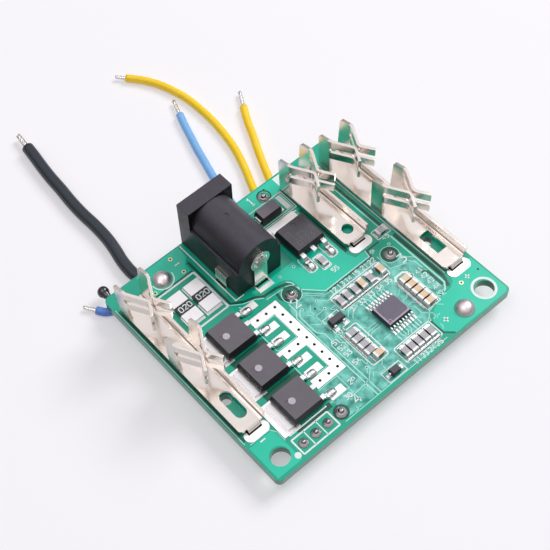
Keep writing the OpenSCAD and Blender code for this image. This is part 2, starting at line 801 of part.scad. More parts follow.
// Plate in the side of the housing whose tail goes down through the board
module jack_side_contact() {
    seat_x = side_tail_x + 0.2;
    color(nickel)
        at_place(0, 0) {
            translate([side_tail_x - strip_t, side_tail_y - strip_w / 2, 0])
                cube([seat_x - side_tail_x + strip_t, strip_w, socket_floor - 0.2]);
            translate([side_tail_x - strip_t, side_tail_y - tail_w / 2, -board_top])
                cube([strip_t, tail_w, board_top]);
        }
}

// Spring strip in the floor of the socket: tail, heel, and a bowed tongue
module jack_spring_contact() {
    reach = jack_front - spring_tail_y;
    color(nickel)
        at_place(jack_x, spring_tail_y, board_top, 90)
            folded_strip([
                [0, -board_top],
                [0, 0.42 * socket_floor],
                [0.28 * reach, 1.1 * socket_floor],
                [0.56 * reach, 0.72 * socket_floor]
            ], strip_t, tail_w, 1.5 * strip_t);
}

// ---- Power switches ----

module switch_leads() {
    mid_z = 1.1;
    color(tin)
        union() {
            translate([-fet_half - fet_tab_reach, -fet_tab_w / 2, 0])
                cube([fet_tab_reach + fet_w * 0.7, fet_tab_w, fet_lead_t]);
            for (s = [-1, 1])
                translate([0, s * fet_lead_span / 2, 0])
                    folded_strip([
                        [fet_half - 0.7, mid_z],
                        [fet_half + 0.7, mid_z],
                        [fet_half + 1.2, fet_lead_t / 2],
                        [fet_half + fet_lead_reach, fet_lead_t / 2]
                    ], fet_lead_t, switch_lead_w, 0.3);
            // The middle lead is cut short at the case
            translate([fet_half - 0.7, -switch_lead_w / 2, mid_z - fet_lead_t / 2])
                cube([1.6, switch_lead_w, fet_lead_t]);
        }
}

// Moulded case over the lead frame, with a round moulding mark near the tab end
module switch_case() {
    color(case_grey)
        difference() {
            translate([0, 0, 0.1])
                moulded_block(fet_w, fet_w, fet_h - 0.1, 0.3, 0.15, 1);
            switch_leads();
            translate([-1.7, 0, fet_h - 0.08])
                cylinder(h = 1, d = 1.2);
        }
}

module column_switch(i) {
    at_place(fet_x, fet_ys[i], land_top)
        children();
}

module charge_switch() {
    at_place(charge_fet_x, charge_fet_y, land_top, -90)
        children();
}

module front_switch_case() { column_switch(0) switch_case(); }
module front_switch_leads() { column_switch(0) switch_leads(); }
module middle_switch_case() { column_switch(1) switch_case(); }
module middle_switch_leads() { column_switch(1) switch_leads(); }
module rear_switch_case() { column_switch(2) switch_case(); }
module rear_switch_leads() { column_switch(2) switch_leads(); }
module charge_switch_case() { charge_switch() switch_case(); }
module charge_switch_leads() { charge_switch() switch_leads(); }

// ---- Diode and sense resistors ----

module diode_lead_strips() {
    t = 0.2;
    for (s = [0, 180])
        rotate([0, 0, s])
            folded_strip([
                [diode_len / 2 - 0.4, diode_h / 2],
                [diode_len / 2 + 0.3, diode_h / 2],
                [diode_len / 2 + 0.3, t / 2],
                [diode_len / 2 - 0.9, t / 2]
            ], t, 1.4, 0.2);
}

module diode_leads() {
    color(tin)
        at_place(diode_x, diode_y, land_top)
            diode_lead_strips();
}

module diode_case() {
    color(case_grey)
        at_place(diode_x, diode_y, land_top)
            difference() {
                translate([0, 0, 0.2])
                    moulded_block(diode_len, diode_w, diode_h - 0.2, 0.2, 0.1, diode_h / 2 - 0.2);
                diode_lead_strips();
            }
}

module shunt_core() {
    skin = 0.08;
    translate([0, 0, skin])
        box_at(0, 0, shunt_w - 2 * skin, shunt_len - 2 * skin, shunt_h - 2 * skin);
}

module shunt_pair() {
    for (i = [0:1])
        at_place(shunt_x + i * (shunt_w + shunt_gap), shunt_y, land_top)
            children();
}

module shunt_bodies() {
    color(moulding_black)
        shunt_pair()
            shunt_core();
}

// Broad metal caps wrapped round each end of the resistive body
module shunt_caps() {
    color(tin)
        shunt_pair()
            difference() {
                for (s = [-1, 1])
                    box_at(0, s * (shunt_len - shunt_cap) / 2, shunt_w, shunt_cap, shunt_h);
                shunt_core();
            }
}

// ---- Controller and small parts ----

module controller_case() {
    color(case_grey)
        at_place(controller_x, controller_y, land_top)
            difference() {
                translate([0, 0, 0.1])
                    moulded_block(controller_len, controller_w, controller_h - 0.1, 0.25, 0.1, 0.35);
                controller_pin_rows();
                translate([-controller_len / 2 + 0.7, -controller_w / 2 + 0.7, controller_h - 0.06])
                    cylinder(h = 1, d = 0.6);
            }
}

module controller_pin_rows() {
    t = 0.15;
    half = controller_w / 2;
    for (turn = [90, -90])
        rotate([0, 0, turn])
            for (i = [0:pins_a_side - 1])
                translate([0, (i - (pins_a_side - 1) / 2) * pin_pitch, 0])
                    folded_strip([
                        [half - 0.3, 0.45], [half + 0.35, 0.45], [half + 0.55, t / 2], [half + 1.1, t / 2]
                    ], t, 0.24, 0.1);
}

module controller_pins() {
    color(tin)
        at_place(controller_x, controller_y, land_top)
            controller_pin_rows();
}

// Gull-wing lead of a small part, leaving a case whose side is half away
module small_lead(half, w) {
    folded_strip([[half - 0.25, 0.5], [half + 0.2, 0.5], [half + 0.35, 0.08], [half + 0.65, 0.08]],
        0.15, w, 0.1);
}

transistor_pin_x = 0.95;
transistor_case = [2.9, 1.4, 1.05];
signal_diode_case = [1.8, 1.3, 0.95];

module transistor_lead_set() {
    for (x = [-1, 1] * transistor_pin_x)
        translate([x, 0, 0])
            rotate([0, 0, -90])
                small_lead(transistor_case[1] / 2, 0.42);
    rotate([0, 0, 90])
        small_lead(transistor_case[1] / 2, 0.42);
}

module signal_diode_lead_set() {
    for (turn = [0, 180])
        rotate([0, 0, turn])
            small_lead(signal_diode_case[0] / 2, 0.34);
}

module signal_part_cases() {
    color(moulding_black) {
        at_place(transistor_x, transistor_y, land_top)
            difference() {
                translate([0, 0, 0.08])
                    moulded_block(transistor_case[0], transistor_case[1], transistor_case[2], 0.15, 0.08, 0.4);
                transistor_lead_set();
            }
        at_place(signal_diode_x, signal_diode_y, land_top)
            difference() {
                translate([0, 0, 0.08])
                    moulded_block(signal_diode_case[0], signal_diode_case[1], signal_diode_case[2],
                        0.12, 0.06, 0.4);
                signal_diode_lead_set();
            }
    }
}

module signal_part_leads() {
    color(tin) {
        at_place(transistor_x, transistor_y, land_top)
            transistor_lead_set();
        at_place(signal_diode_x, signal_diode_y, land_top)
            signal_diode_lead_set();
    }
}

// Ceramic body of a chip part between its metal ends
module chip_body(h) {
    box_at(0, 0, chip_len - 2 * chip_end, chip_w, h);
}

module chip_ends(h) {
    rim = 0.03;
    for (s = [-1, 1])
        box_at(s * (chip_len - chip_end) / 2, 0, chip_end, chip_w + 2 * rim, h + rim);
}

module at_chips(places) {
    for (p = places)
        at_place(p[0], p[1], land_top, p[2])
            children();
}

module chip_resistors() { color("#6e6c70") at_chips(resistor_places) chip_body(resistor_h); }
module chip_capacitors() { color("#d9a878") at_chips(capacitor_places) chip_body(capacitor_h); }

module chip_end_caps() {
    color(tin) {
        at_chips(resistor_places) chip_ends(resistor_h);
        at_chips(capacitor_places) chip_ends(capacitor_h);
    }
}

// ---- Solder joints, leads and thermistor ----

// A rounded solder cap of foot radius r and height h, standing on z = 0
module solder_dome(r, h) {
    ball_r = (r * r + h * h) / (2 * h);
    intersection() {
        translate([0, 0, h - ball_r])
            sphere(r = ball_r);
        cylinder(h = h, r = r);
    }
}

// Dome on top, plug in the plated hole and a lump under the board
module through_joint(p, r) {
    at_place(p[0], p[1]) {
        solder_dome(r, r * dome_rise);
        translate([0, 0, -board_t])
            cylinder(h = board_t, r = r * joint_bore_ratio);
        // Under the board the solder tapers along the lead's core
        translate([0, 0, -board_t])
            mirror([0, 0, 1])
                cylinder(h = r * lump_drop, r1 = r, r2 = r / 2);
    }
}

module lead_joints() {
    color("#b9b6b4")
        difference() {
            union() {
                for (p = main_joints)
                    through_joint(p, main_joint_r);
                for (p = tap_joints)
                    through_joint(p, tap_joint_r);
                for (p = header_places)
                    through_joint(p, header_joint_r);
                bead_lead_mound();
            }
            lead_core_set();
            thermistor_wires();
        }
}

// Solder round each flat tail where it leaves the board's underside
module tail_fillets() {
    run = 0.55;
    color("#b9b6b4")
        at_place(0, 0, tail_drop)
            difference() {
                for (t = tails)
                    translate([t[0], t[1], 0])
                        mirror([0, 0, 1])
                            drafted_block(t[2] + 2 * run, t[3] + 2 * run, 0.9, run * 0.7);
                for (t = tails)
                    translate([0, 0, -2])
                        box_at(t[0], t[1], t[2], t[3], 3);
            }
}

function turn_of(v) = [0, acos(v[2] / norm(v)), atan2(v[1], v[0])];

// A round wire from point a to point b
module wire_between(a, b, d) {
    translate(a)
        rotate(turn_of(b - a))
            cylinder(h = norm(b - a), d = d, $fn = 16);
}

// Bare core from inside a joint to the start of its lead's insulation, whose end face
// it meets flush
module lead_core(p, route, d) {
    exit_point = route[0];
    joint = [p[0] - origin_x, p[1] - origin_y, exit_point[2]];
    difference() {
        wire_between(joint, exit_point + d * unit(exit_point - joint), d * core_d_ratio);
        wire_between(exit_point, exit_point + 2 * d * heading(route, 0), 3 * d);
    }
}

module lead_core_set() {
    lead_core(negative_joint, black_route, main_lead_d);
    lead_core(tap_1, yellow_route_1, tap_lead_d);
    lead_core(tap_2, light_blue_route, tap_lead_d);
    lead_core(tap_3, yellow_route_2, tap_lead_d);
    lead_core(tap_4, blue_route, tap_lead_d);
}

module lead_cores() { color("#c98f62") lead_core_set(); }

// Bare tinned strands past the cut end of the insulation
module bare_tip(route, d) {
    last = len(route) - 1;
    along = unit(route[last] - route[last - 1]);
    wire_between(route[last], route[last] + along * bare_end, d * core_d_ratio);
}

module black_lead_tip() { color(tin) bare_tip(black_route, main_lead_d); }
module yellow_lead_1_tip() { color(tin) bare_tip(yellow_route_1, tap_lead_d); }
module yellow_lead_2_tip() { color(tin) bare_tip(yellow_route_2, tap_lead_d); }
module light_blue_lead_tip() { color(tin) bare_tip(light_blue_route, tap_lead_d); }
module blue_lead_tip() { color(tin) bare_tip(blue_route, tap_lead_d); }

sides = 8;

// Direction of a route at point i
function heading(route, i) =
    unit(route[min(i + 1, len(route) - 1)] - route[max(i - 1, 0)]);

// The ring of corners round point i of a route
function ring(route, i, r) =
    let (h = heading(route, i), across = unit(cross(h, [0, 0, 1])), up = cross(across, h))
    [for (k = [0:sides - 1]) route[i] + r * (cos(k * 360 / sides) * across + sin(k * 360 / sides) * up)];

// Insulation swept along a route
module insulation(route, d) {
    count = len(route);
    corners = [for (i = [0:count - 1]) each ring(route, i, d / 2)];
    walls = [
        for (i = [0:count - 2], k = [0:sides - 1])
            let (next = (k + 1) % sides)
            [i * sides + k, i * sides + next, (i + 1) * sides + next, (i + 1) * sides + k]
    ];
    start_cap = [[for (k = [sides - 1:-1:0]) k]];
    end_cap = [[for (k = [0:sides - 1]) (count - 1) * sides + k]];
    polyhedron(points = corners, faces = concat(start_cap, walls, end_cap), convexity = 6);
}

module black_lead() { color("#33343c") insulation(black_route, main_lead_d); }
module yellow_lead_1() { color("#ffd92e") insulation(yellow_route_1, tap_lead_d); }
module yellow_lead_2() { color("#ffd92e") insulation(yellow_route_2, tap_lead_d); }
module light_blue_lead() { color("#8cc0fa") insulation(light_blue_route, tap_lead_d); }
module blue_lead() { color("#4d7fd6") insulation(blue_route, tap_lead_d); }

// Thermistor: an epoxy bead held past the back edge by two wires under the board
bead_lead_d = 0.4;
bead_lead_gap = 0.1;
bead_lead_z = tail_drop - bead_lead_gap - bead_lead_d / 2;
bead_lead_inset = 1.6;

module thermistor_wires() {
    for (s = [-1, 1])
        at_place(bead_x + s * 0.45, board_d - bead_lead_inset, bead_lead_z)
            rotate([-90, 0, 0])
                cylinder(h = bead_lead_inset + bead_out - bead_r * 0.3, d = bead_lead_d, $fn = 16);
}

// Solder that holds the ends of both wires to the board's underside
module bead_lead_mound() {
    at_place(bead_x, board_d - bead_lead_inset, tail_drop)
        mirror([0, 0, 1])
            drafted_block(5 * bead_lead_d, 3 * bead_lead_d, 2 * bead_lead_d, bead_lead_d / 2);
}

module thermistor_leads() { color(tin) thermistor_wires(); }

module thermistor_bead() {
    color("#1c1b20")
        difference() {
            at_place(bead_x, board_d + bead_out, bead_lead_z)
                union() {
                    sphere(d = bead_d);
                    rotate([90, 0, 0])
                        cylinder(h = bead_r + 0.5, d1 = bead_d * 0.9, d2 = bead_d * 0.55);
                }
            thermistor_wires();
        }
}

circuit_board();
solder_lands();
negative_terminal();
positive_terminal();
charge_terminal();
jack_housing();
jack_centre_pin();
jack_rear_contact();
jack_side_contact();
jack_spring_contact();
front_switch_case();
front_switch_leads();
middle_switch_case();
middle_switch_leads();
rear_switch_case();
rear_switch_leads();
charge_switch_case();
charge_switch_leads();
diode_case();
diode_leads();
shunt_bodies();
shunt_caps();
controller_case();
controller_pins();
signal_part_cases();
signal_part_leads();
chip_resistors();
chip_capacitors();
chip_end_caps();
lead_joints();
tail_fillets();
lead_cores();
black_lead();
yellow_lead_1();
yellow_lead_2();
light_blue_lead();
blue_lead();
black_lead_tip();
yellow_lead_1_tip();
yellow_lead_2_tip();
light_blue_lead_tip();
blue_lead_tip();
thermistor_bead();
thermistor_leads();
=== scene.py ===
"""Looks of the battery management board: finishes, print, solder, leads, light and camera.

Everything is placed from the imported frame. Lengths are written in millimetres and turned into
metres where a mesh is made. Places on the board are measured from its front left corner.
"""

import json
import logging
import math
import random
from dataclasses import dataclass
from enum import Enum

import bmesh
import bpy
import numpy as np
from mathutils import Matrix, Vector


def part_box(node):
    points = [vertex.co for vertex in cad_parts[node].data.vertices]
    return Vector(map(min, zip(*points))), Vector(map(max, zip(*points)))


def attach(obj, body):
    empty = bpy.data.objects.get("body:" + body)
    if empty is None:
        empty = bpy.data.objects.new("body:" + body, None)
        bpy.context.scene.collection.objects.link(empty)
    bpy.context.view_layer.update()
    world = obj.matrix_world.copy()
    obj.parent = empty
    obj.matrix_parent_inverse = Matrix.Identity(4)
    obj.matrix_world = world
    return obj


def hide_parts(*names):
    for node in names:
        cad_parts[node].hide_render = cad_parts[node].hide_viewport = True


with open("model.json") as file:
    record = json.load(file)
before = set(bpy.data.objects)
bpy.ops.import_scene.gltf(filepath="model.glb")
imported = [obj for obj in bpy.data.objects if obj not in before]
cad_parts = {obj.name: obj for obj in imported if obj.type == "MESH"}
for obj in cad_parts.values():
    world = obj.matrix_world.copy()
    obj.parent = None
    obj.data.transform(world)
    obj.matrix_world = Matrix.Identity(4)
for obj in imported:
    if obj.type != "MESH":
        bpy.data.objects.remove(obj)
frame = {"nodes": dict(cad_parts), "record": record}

MM = 0.001
BODY = "root"
LOG = logging.getLogger("management_board")
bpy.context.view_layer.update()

Socket = bpy.types.NodeSocket
Model = bpy.types.Object
Point = tuple[float, float]
Place = tuple[float, float, float]
Colour = tuple[float, float, float]
Display = tuple[int, int, int]
Path = tuple[Point, ...]
Drawing = dict[float, tuple[Path, ...]]


# Frame helpers


@dataclass(frozen=True)
class Block:
    """An upright box in millimetres, in the part's own frame."""

    low: Vector
    high: Vector

    @property
    def centre(self) -> Vector:
        """Middle of the box."""
        return (self.low + self.high) / 2

    @property
    def size(self) -> Vector:
        """Extent of the box along each axis."""
        return self.high - self.low


def node_block(node: str) -> Block:
    """Box of a CAD node, in millimetres."""
    low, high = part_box(node)
    return Block(low / MM, high / MM)


def solids_of(node: str) -> list[Block]:
    """Boxes of the separate solids in a CAD node.

    Args:
        node: Name of the node.

    Returns:
        One box for each solid, in the order of their first vertex.
    """
    mesh = bmesh.new()
    mesh.from_mesh(frame["nodes"][node].data)
    bmesh.ops.remove_doubles(mesh, verts=mesh.verts, dist=0.002 * MM)
    mesh.verts.ensure_lookup_table()
    seen: set[int] = set()
    blocks = []
    for start in mesh.verts:
        if start.index in seen:
            continue
        stack, members = [start], []
        seen.add(start.index)
        while stack:
            vertex = stack.pop()
            members.append(vertex.co)
            for edge in vertex.link_edges:
                other = edge.other_vert(vertex)
                if other.index not in seen:
                    seen.add(other.index)
                    stack.append(other)
        spots = np.array(members) / MM
        blocks.append(Block(Vector(spots.min(0)), Vector(spots.max(0))))
    mesh.free()
    return blocks


BOARD = node_block("circuit_board")


def on_board(x: float, y: float, lift: float = 0.0) -> Vector:
    """Point `lift` over the top face, x and y from the board's front left corner."""
    return Vector((BOARD.low.x + x, BOARD.low.y + y, BOARD.high.z + lift))


# Mesh making


def circle(middle: Vector, radius: float, sides: int) -> list[Vector]:
    """Corners of a level circle, from the one towards +X."""
    turns = [2 * math.pi * k / sides for k in range(sides)]
    return [middle + radius * Vector((math.cos(t), math.sin(t), 0)) for t in turns]


def frames_along(path: list[Vector]) -> list[tuple[Vector, Vector]]:
    """Two directions across a path at each of its points, without twist.

    Args:
        path: Points of the path.

    Returns:
        For each point, a pair of unit vectors at right angles to the path.
    """
    last = len(path) - 1
    pairs = []
    across = None
    for i in range(len(path)):
        along = (path[min(i + 1, last)] - path[max(i - 1, 0)]).normalized()
        if across is None:
            helper = Vector((0, 0, 1)) if abs(along.z) < 0.9 else Vector((1, 0, 0))
            across = along.cross(helper).normalized()
        across = (across - along * across.dot(along)).normalized()
        pairs.append((across, along.cross(across)))
    return pairs


def smooth_route(points: list[Vector], steps: int) -> list[Vector]:
    """Smooth curve through given points.

    Args:
        points: Points that the curve passes.
        steps: Points made on each stretch between two of them.

    Returns:
        Points of the curve, both ends included.
    """
    padded = [2 * points[0] - points[1], *points, 2 * points[-1] - points[-2]]
    route = []
    for a, b, c, d in zip(padded, padded[1:], padded[2:], padded[3:]):
        line, bow, sway = c - a, 2 * a - 5 * b + 4 * c - d, 3 * b - a - 3 * c + d
        for t in (k / steps for k in range(steps)):
            route.append(0.5 * (2 * b + line * t + bow * t * t + sway * t**3))
    route.append(points[-1].copy())
    return route


STROKES: dict[str, tuple[Path, ...]] = {
    "0": (((0, 1), (1, 0), (3, 0), (4, 1), (4, 5), (3, 6), (1, 6), (0, 5), (0, 1)),),
    "1": (((1, 5), (2, 6), (2, 0)), ((1, 0), (3, 0))),
    "2": (((0, 5), (1, 6), (3, 6), (4, 5), (4, 4), (0, 0), (4, 0)),),
    "3": (((0, 6), (4, 6), (2, 3.5), (4, 2.5), (4, 1), (3, 0), (0, 0)),),
    "4": (((3, 0), (3, 6), (0, 2), (4, 2)),),
    "5": (((4, 6), (0, 6), (0, 3.4), (3, 3.4), (4, 2.4), (4, 1), (3, 0), (0, 0)),),
    "+": (((2, 1), (2, 5)), ((0, 3), (4, 3))),
    "-": (((0, 3), (4, 3)),),
}
STROKE_ROWS = 6
FIGURE_STEP = 5.6
SIDE_STEPS = 8
CORNER_STEPS = 4


class Sketch:
    """Gathers faces in millimetres and turns them into one piece."""

    def __init__(self) -> None:
        """Start with no faces."""
        self.points: list[Vector] = []
        self.faces: list[list[int]] = []

    def loft(self, rings: list[list[Vector]], caps: bool = True) -> None:
        """Add a skin over closed rings of equally many points.

        Args:
            rings: Rings from the first end to the last.
            caps: Whether both ends get a face.
        """
        start, count = len(self.points), len(rings[0])
        for low in range(start, start + (len(rings) - 1) * count, count):
            for k in range(count):
                after = (k + 1) % count
                self.faces.append([low + k, low + after, low + count + after, low + count + k])
        self.points.extend(point for ring in rings for point in ring)
        if caps:
            self.faces.append(list(range(start, start + count))[::-1])
            self.faces.append(list(range(len(self.points) - count, len(self.points))))

    def tube(self, path: list[Vector], radius: float, sides: int) -> None:
        """Add a round tube along a path.

        Args:
            path: Middle line of the tube.
            radius: Radius of the tube.
            sides: Corners of a cross-section.
        """
        turns = [2 * math.pi * k / sides for k in range(sides)]
        rings = []
        for point, (across, up) in zip(path, frames_along(path)):
            spokes = [math.cos(t) * across + math.sin(t) * up for t in turns]
            rings.append([point + radius * spoke for spoke in spokes])
        self.loft(rings)

    def revolve(self, profile: list[Point], foot: Vector, sides: int, caps: bool = True) -> None:
        """Add a turned shape by the radius and height of its rings, from the foot up."""
        self.loft([circle(foot + Vector((0, 0, z)), r, sides) for r, z in profile], caps)

    def ring(self, foot: Vector, outer: float, inner: float, height: float, sides: int) -> None:
        """Add a flat washer with its foot's middle and its outer and inner radius."""
        profile = [(inner, 0), (outer, 0), (outer, height), (inner, height), (inner, 0)]
        self.revolve(profile, foot, sides, caps=False)

    def ribbon(self, path: list[Vector], width: float, height: float) -> None:
        """Add a flat strip that lies level along a path.

        Args:
            path: Middle line of its underside.
            width: Width of the strip.
            height: Thickness of the strip.
        """
        closed = (path[0] - path[-1]).length < 1e-6
        inner = path[:-1] if closed else path
        count = len(inner)
        lift = Vector((0, 0, height))
        rings = []
        for i, point in enumerate(inner):
            runs = []
            if i or closed:
                runs.append(point - inner[i - 1])
            if i < count - 1 or closed:
                runs.append(inner[(i + 1) % count] - point)
            sides = [Vector((-run.y, run.x, 0)).normalized() for run in runs]
            side = sum(sides, Vector()) / len(sides)
            half = side / max(side.length_squared, 0.25) * (width / 2)
            rings.append([point - half, point + half, point + half + lift, point - half + lift])
        if closed:
            rings.append(list(rings[0]))
        self.loft(rings, caps=not closed)

    def slab(self, outline: list[Vector], height: float) -> None:
        """Add an upright slab over a level outline."""
        self.loft([outline, [p + Vector((0, 0, height)) for p in outline]])

    def pierced_slab(
        self, outline: list[Vector], middle: Vector, radius: float, height: float
    ) -> None:
        """Add an upright slab with one round hole that sees its whole outline.

        Args:
            outline: Corners of its underside, in order.
            middle: Middle of the hole's underside.
            radius: Radius of the hole.
            height: Thickness of the slab.
        """
        outer = []
        for start, end in zip(outline, [*outline[1:], outline[0]]):
            outer.extend(start.lerp(end, k / SIDE_STEPS) for k in range(SIDE_STEPS))
        inner = [middle + radius * (p - middle).normalized() for p in outer]
        lift = Vector((0, 0, height))
        rings = [inner, outer, [p + lift for p in outer], [p + lift for p in inner], inner]
        self.loft(rings, caps=False)

    def draw(self, drawing: Drawing, rise: float) -> None:
        """Add the lines of a drawing on the board.

        Args:
            drawing: Paths by the width of their line.
            rise: How high the lines stand over the board.
        """
        for width, paths in drawing.items():
            for path in paths:
                self.ribbon([on_board(x, y) for x, y in path], width, rise)

    def fill(self, outlines: tuple[Path, ...], rise: float) -> None:
        """Add filled outlines that stand `rise` over the board."""
        for outline in outlines:
            self.slab([on_board(x, y) for x, y in outline], rise)

    def write(self, text: str, corner: Vector, height: float, width: float, rise: float) -> None:
        """Add plain figures along the x axis.

        Args:
            text: The figures.
            corner: Lower left corner of the first one.
            height: Height of a figure.
            width: Width of a stroke.
            rise: Thickness of the print.
        """
        unit = height / STROKE_ROWS
        for place, figure in enumerate(text):
            start = FIGURE_STEP * place
            for stroke in STROKES[figure]:
                line = [corner + Vector(((x + start) * unit, y * unit, 0)) for x, y in stroke]
                self.ribbon(line, width, rise)

    def piece(self, name: str, finish: str, slot: str, smooth: bool = False) -> Model:
        """Make the gathered faces into a piece that rides on the board.

        Args:
            name: Name of the piece.
            finish: Finish of all its faces.
            slot: Material slot of the record; not used.
            smooth: Whether its faces are shaded smooth.

        Returns:
            The new object.
        """
        mesh = bpy.data.meshes.new(name)
        mesh.from_pydata([p * MM for p in self.points], [], self.faces)
        mesh.materials.append(MATERIALS[finish])
        work = bmesh.new()
        work.from_mesh(mesh)
        bmesh.ops.remove_doubles(work, verts=work.verts, dist=1e-8)
        bmesh.ops.recalc_face_normals(work, faces=work.faces)
        for face in work.faces:
            face.smooth = smooth
        work.to_mesh(mesh)
        work.free()
        made = bpy.data.objects.new(name, mesh)
        bpy.context.scene.collection.objects.link(made)
        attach(made, BODY)
        LOG.info("%s: %d faces", name, len(mesh.polygons))
        return made


# Shared shader effects


class NodeKind(Enum):
    """Shader nodes that the effects, the finishes and the studio use."""

    COORDINATE = "ShaderNodeTexCoord"
    NOISE = "ShaderNodeTexNoise"
    WAVE = "ShaderNodeTexWave"
    MATH = "ShaderNodeMath"
    VECTOR_MATH = "ShaderNodeVectorMath"
    RAMP = "ShaderNodeMapRange"
    MIX = "ShaderNodeMix"
    BUMP = "ShaderNodeBump"
    BEVEL = "ShaderNodeBevel"
    GEOMETRY = "ShaderNodeNewGeometry"
    SEPARATE = "ShaderNodeSeparateXYZ"
    GROUP = "ShaderNodeGroup"
    GROUP_ENTRY = "NodeGroupInput"
    GROUP_EXIT = "NodeGroupOutput"
    LIGHT_PATH = "ShaderNodeLightPath"
    DIFFUSE = "ShaderNodeBsdfDiffuse"
    EMISSION = "ShaderNodeEmission"
    BACKGROUND = "ShaderNodeBackground"
    MIX_SHADER = "ShaderNodeMixShader"
    MATERIAL_OUTPUT = "ShaderNodeOutputMaterial"
    WORLD_OUTPUT = "ShaderNodeOutputWorld"


class Wiring:
    """Adds nodes to a tree and joins them."""

    def __init__(self, tree: bpy.types.NodeTree) -> None:
        """Keep the tree that gets the nodes."""
        self.tree = tree

    def node(
        self, kind: NodeKind, inputs: dict | None = None, **settings: object
    ) -> bpy.types.Node:
        """Add a node.

        Args:
            kind: Which node.
            inputs: Values or output sockets for its input sockets, by name or number.
            **settings: Properties of the node.

        Returns:
            The new node.
        """
        made = self.tree.nodes.new(kind.value)
        for key, value in settings.items():
            setattr(made, key, value)
        for key, value in (inputs or {}).items():
            self.put(value, made.inputs[key])
        return made

    def put(self, value: object, socket: Socket) -> None:
        """Link an output socket to an input, or set the input's value.

        Args:
            value: Output socket or plain value.
            socket: The input.
        """
        if isinstance(value, Socket):
            self.tree.links.new(value, socket)
        else:
            socket.default_value = value

    def math(self, operation: str, a: object, b: object = 0.0) -> Socket:
        """Join two values with a Math node and give its result."""
        return self.node(NodeKind.MATH, {0: a, 1: b}, operation=operation).outputs[0]

    def span(
        self, value: object, low: float, high: float, to_low: float = 0.0, to_high: float = 1.0
    ) -> Socket:
        """Move a value smoothly from the range low to high, to to_low to to_high."""
        ends = {0: value, 1: low, 2: high, 3: to_low, 4: to_high}
        return self.node(NodeKind.RAMP, ends, interpolation_type="SMOOTHSTEP").outputs[0]

    def blend(self, factor: object, first: object, second: object) -> Socket:
        """Mix two colours.

        Args:
            factor: Share of the second colour.
            first: First colour or socket.
            second: Second colour or socket.

        Returns:
            The mixed colour's socket.
        """
        made = self.node(NodeKind.MIX, {0: factor}, data_type="RGBA")
        for socket, value in ((made.inputs[6], first), (made.inputs[7], second)):
            self.put((*value, 1.0) if isinstance(value, tuple) else value, socket)
        return made.outputs[2]

    def millimetre_space(self) -> Socket:
        """Object coordinates, counted in millimetres."""
        place = self.node(NodeKind.COORDINATE).outputs["Object"]
        scaled = self.node(NodeKind.VECTOR_MATH, {0: place, "Scale": 1 / MM}, operation="SCALE")
        return scaled.outputs[0]


class Effect(Enum):
    """Shader groups that several finishes share."""

    GRAIN = "fine_grain"
    SMUDGE = "handling_smudges"
    EDGE = "softened_edges"


def new_group(
    effect: Effect, inputs: dict[str, float], outputs: dict[str, str]
) -> tuple[Wiring, bpy.types.Node, bpy.types.Node]:
    """Make a shader group with named sockets and nothing between them.

    Args:
        effect: Which effect it is.
        inputs: Name and default of each number that goes in.
        outputs: Name and socket type of what comes out.

    Returns:
        The group's wiring, its entry node and its exit node.
    """
    tree = bpy.data.node_groups.new(effect.value, "ShaderNodeTree")
    for name, default in inputs.items():
        socket = tree.interface.new_socket(name, in_out="INPUT", socket_type="NodeSocketFloat")
        socket.default_value = default
    for name, kind in outputs.items():
        tree.interface.new_socket(name, in_out="OUTPUT", socket_type=kind)
    wiring = Wiring(tree)
    return wiring, wiring.node(NodeKind.GROUP_ENTRY), wiring.node(NodeKind.GROUP_EXIT)


def grain_group() -> bpy.types.NodeTree:
    """Fine grain of moulded, cast or printed surfaces.

    Returns:
        A group that takes the grain's Size in millimetres and its Contrast, and puts out a
        Height and a slower Tone, both about one half.
    """
    sockets = {"Height": "NodeSocketFloat", "Tone": "NodeSocketFloat"}
    wiring, entry, leave = new_group(Effect.GRAIN, {"Size": 0.1, "Contrast": 1.0}, sockets)
    space = wiring.millimetre_space()
    frequency = wiring.math("DIVIDE", 1.0, entry.outputs["Size"])
    slower = wiring.math("MULTIPLY", frequency, 0.07)
    for name, scale, detail in (("Height", frequency, 3.0), ("Tone", slower, 2.0)):
        waves = {"Vector": space, "Scale": scale, "Detail": detail}
        noise = wiring.node(NodeKind.NOISE, waves).outputs[0]
        centred = wiring.math("SUBTRACT", noise, 0.5)
        wider = wiring.math("MULTIPLY", centred, entry.outputs["Contrast"])
        wiring.put(wiring.math("ADD", wider, 0.5), leave.inputs[name])
    return wiring.tree


def smudge_group() -> bpy.types.NodeTree:
    """Faint patches left by handling and washing.

    Returns:
        A group that takes the patches' Size in millimetres and their Amount, and puts out a Mask.
    """
    numbers = {"Size": 4.0, "Amount": 0.5}
    wiring, entry, leave = new_group(Effect.SMUDGE, numbers, {"Mask": "NodeSocketFloat"})
    frequency = wiring.math("DIVIDE", 1.0, entry.outputs["Size"])
    waves = {"Scale": frequency, "Detail": 5.0, "Distortion": 0.8}
    noise = wiring.node(NodeKind.NOISE, {"Vector": wiring.millimetre_space(), **waves})
    patches = wiring.span(noise.outputs[0], 0.42, 0.68)
    wiring.put(wiring.math("MULTIPLY", patches, entry.outputs["Amount"]), leave.inputs["Mask"])
    return wiring.tree


